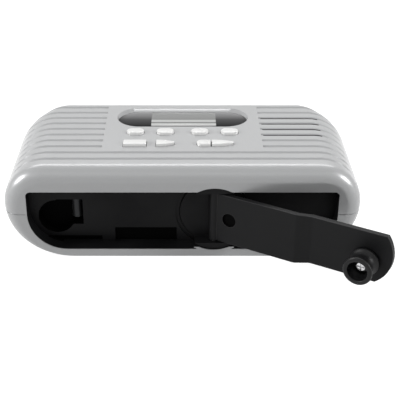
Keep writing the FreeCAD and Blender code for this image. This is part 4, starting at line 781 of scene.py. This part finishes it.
def makeKnobShell():
    s = knobSet
    rings = s["rings"]
    bpy.ops.mesh.primitive_circle_add(vertices=s["vertices"], radius=rings[0][1] * mm,
                                      location=(0, 0, rings[0][0] * mm), fill_type="NOTHING")
    knob = bpy.context.object
    bpy.ops.object.transform_apply(location=True)
    bpy.ops.object.mode_set(mode="EDIT")
    bpy.ops.mesh.select_all(action="SELECT")
    for (lastZ, lastR), (z, r) in zip(rings, rings[1:]):
        bpy.ops.mesh.extrude_edges_move(TRANSFORM_OT_translate={"value": (0, 0, (z - lastZ) * mm)})
        bpy.ops.transform.resize(value=(r / lastR, r / lastR, 1), center_override=(0, 0, 0))
    # The last ring meets the first one's bore wall
    back = (0, 0, (rings[0][0] - rings[-1][0]) * mm)
    bpy.ops.mesh.extrude_edges_move(TRANSFORM_OT_translate={"value": back})
    bpy.ops.mesh.select_all(action="SELECT")
    bpy.ops.mesh.remove_doubles(threshold=easeSet["merge"] * mm)
    bpy.ops.mesh.normals_make_consistent(inside=False)
    bpy.ops.object.mode_set(mode="OBJECT")
    return knob


def makeKnob():
    knob = makeKnobShell()
    knob.matrix_world = armFrame()
    settle(knob, "knobSpool", "knobBlack", "knob", ["crank_knob"], angle=knobSet["smooth"])


makeKnob()
print("knob made")

# Room: pale floor, soft lights and a plain sky

roomSet = {
    "floorSize": 6.0,
    "floorDrop": 0.00015,
    "floorColour": (0.45, 0.45, 0.45),
    "glowNear": 0.84,                 # under and beside the radio, where its shadow lies
    "glowFar": 1.0,
    "glowReach": (0.45, 1.1),         # metres from the middle
    "skyLight": 0.1,                  # what the sky adds to the light on the radio
    "skyShown": 1.0,
    "white": (1, 1, 1, 1),
    "lamps": (
        # name, place, size, watts
        ("topSoft", (0.0, 0.86, 0.96), (1.6, 0.34), 6.8),
        ("leftSoft", (-1.1, -0.24, 0.56), (0.3, 0.4), 10.2),
        ("rightSoft", (1.1, -0.24, 0.56), (0.3, 0.4), 8.6),
        ("frontSoft", (0.0, -0.75, 0.95), (1.6, 0.5), 1.0),
    ),
    "lampAim": (0, 0, 0.03),
}


def seenOutright(tree):
    # 1 for the camera and for what metal and glass show, 0 for the light that falls on the radio
    path = addNode(tree, "ShaderNodeLightPath")
    seen = mathNode(tree, "MAXIMUM", path.outputs["Is Camera Ray"], path.outputs["Is Glossy Ray"])
    return mathNode(tree, "MAXIMUM", seen, path.outputs["Is Transmission Ray"])


def makeFloor():
    bpy.ops.mesh.primitive_plane_add(size=roomSet["floorSize"], location=(0, 0, -roomSet["floorDrop"]))
    floor = bpy.context.object
    floor.name = "paleFloor"
    mat = bpy.data.materials.new("floorPaper")
    mat.use_nodes = True
    tree = mat.node_tree
    tree.nodes.clear()
    out = addNode(tree, "ShaderNodeOutputMaterial")
    paper = addNode(tree, "ShaderNodeBsdfDiffuse", Color=(*roomSet["floorColour"], 1))
    glow = addNode(tree, "ShaderNodeEmission", Color=roomSet["white"])
    coords = addNode(tree, "ShaderNodeTexCoord")
    away = addNode(tree, "ShaderNodeVectorMath", operation="LENGTH")
    join(tree, coords.outputs["Object"], away.inputs[0])
    spread = spreadRange(tree, away.outputs["Value"], *roomSet["glowReach"])
    spread.inputs["To Min"].default_value = roomSet["glowNear"]
    spread.inputs["To Max"].default_value = roomSet["glowFar"]
    strength = mathNode(tree, "MULTIPLY", seenOutright(tree), spread.outputs["Result"])
    join(tree, strength, glow.inputs["Strength"])
    both = addNode(tree, "ShaderNodeAddShader")
    join(tree, paper.outputs[0], both.inputs[0])
    join(tree, glow.outputs[0], both.inputs[1])
    join(tree, both.outputs[0], out.inputs["Surface"])
    floor.data.materials.append(mat)


def makeSky():
    world = bpy.data.worlds.new("plainSky")
    bpy.context.scene.world = world
    world.use_nodes = True
    tree = world.node_tree
    tree.nodes.clear()
    out = addNode(tree, "ShaderNodeOutputWorld")
    lit = addNode(tree, "ShaderNodeBackground", Color=roomSet["white"], Strength=roomSet["skyLight"])
    shown = addNode(tree, "ShaderNodeBackground", Color=roomSet["white"], Strength=roomSet["skyShown"])
    mix = addNode(tree, "ShaderNodeMixShader")
    join(tree, seenOutright(tree), mix.inputs[0])
    join(tree, lit.outputs[0], mix.inputs[1])
    join(tree, shown.outputs[0], mix.inputs[2])
    join(tree, mix.outputs[0], out.inputs["Surface"])


def makeLamps():
    aim = Vector(roomSet["lampAim"])
    for name, place, size, watts in roomSet["lamps"]:
        bpy.ops.object.light_add(type="AREA", location=place)
        lamp = bpy.context.object
        lamp.name = name
        lamp.data.shape = "RECTANGLE"
        lamp.data.size, lamp.data.size_y = size
        lamp.data.energy = watts
        lamp.rotation_euler = (Vector(place) - aim).to_track_quat("Z", "Y").to_euler()


makeFloor()
makeSky()
makeLamps()
addCamera()
bpy.context.scene.view_settings.view_transform = "Standard"
print("room and camera ready")
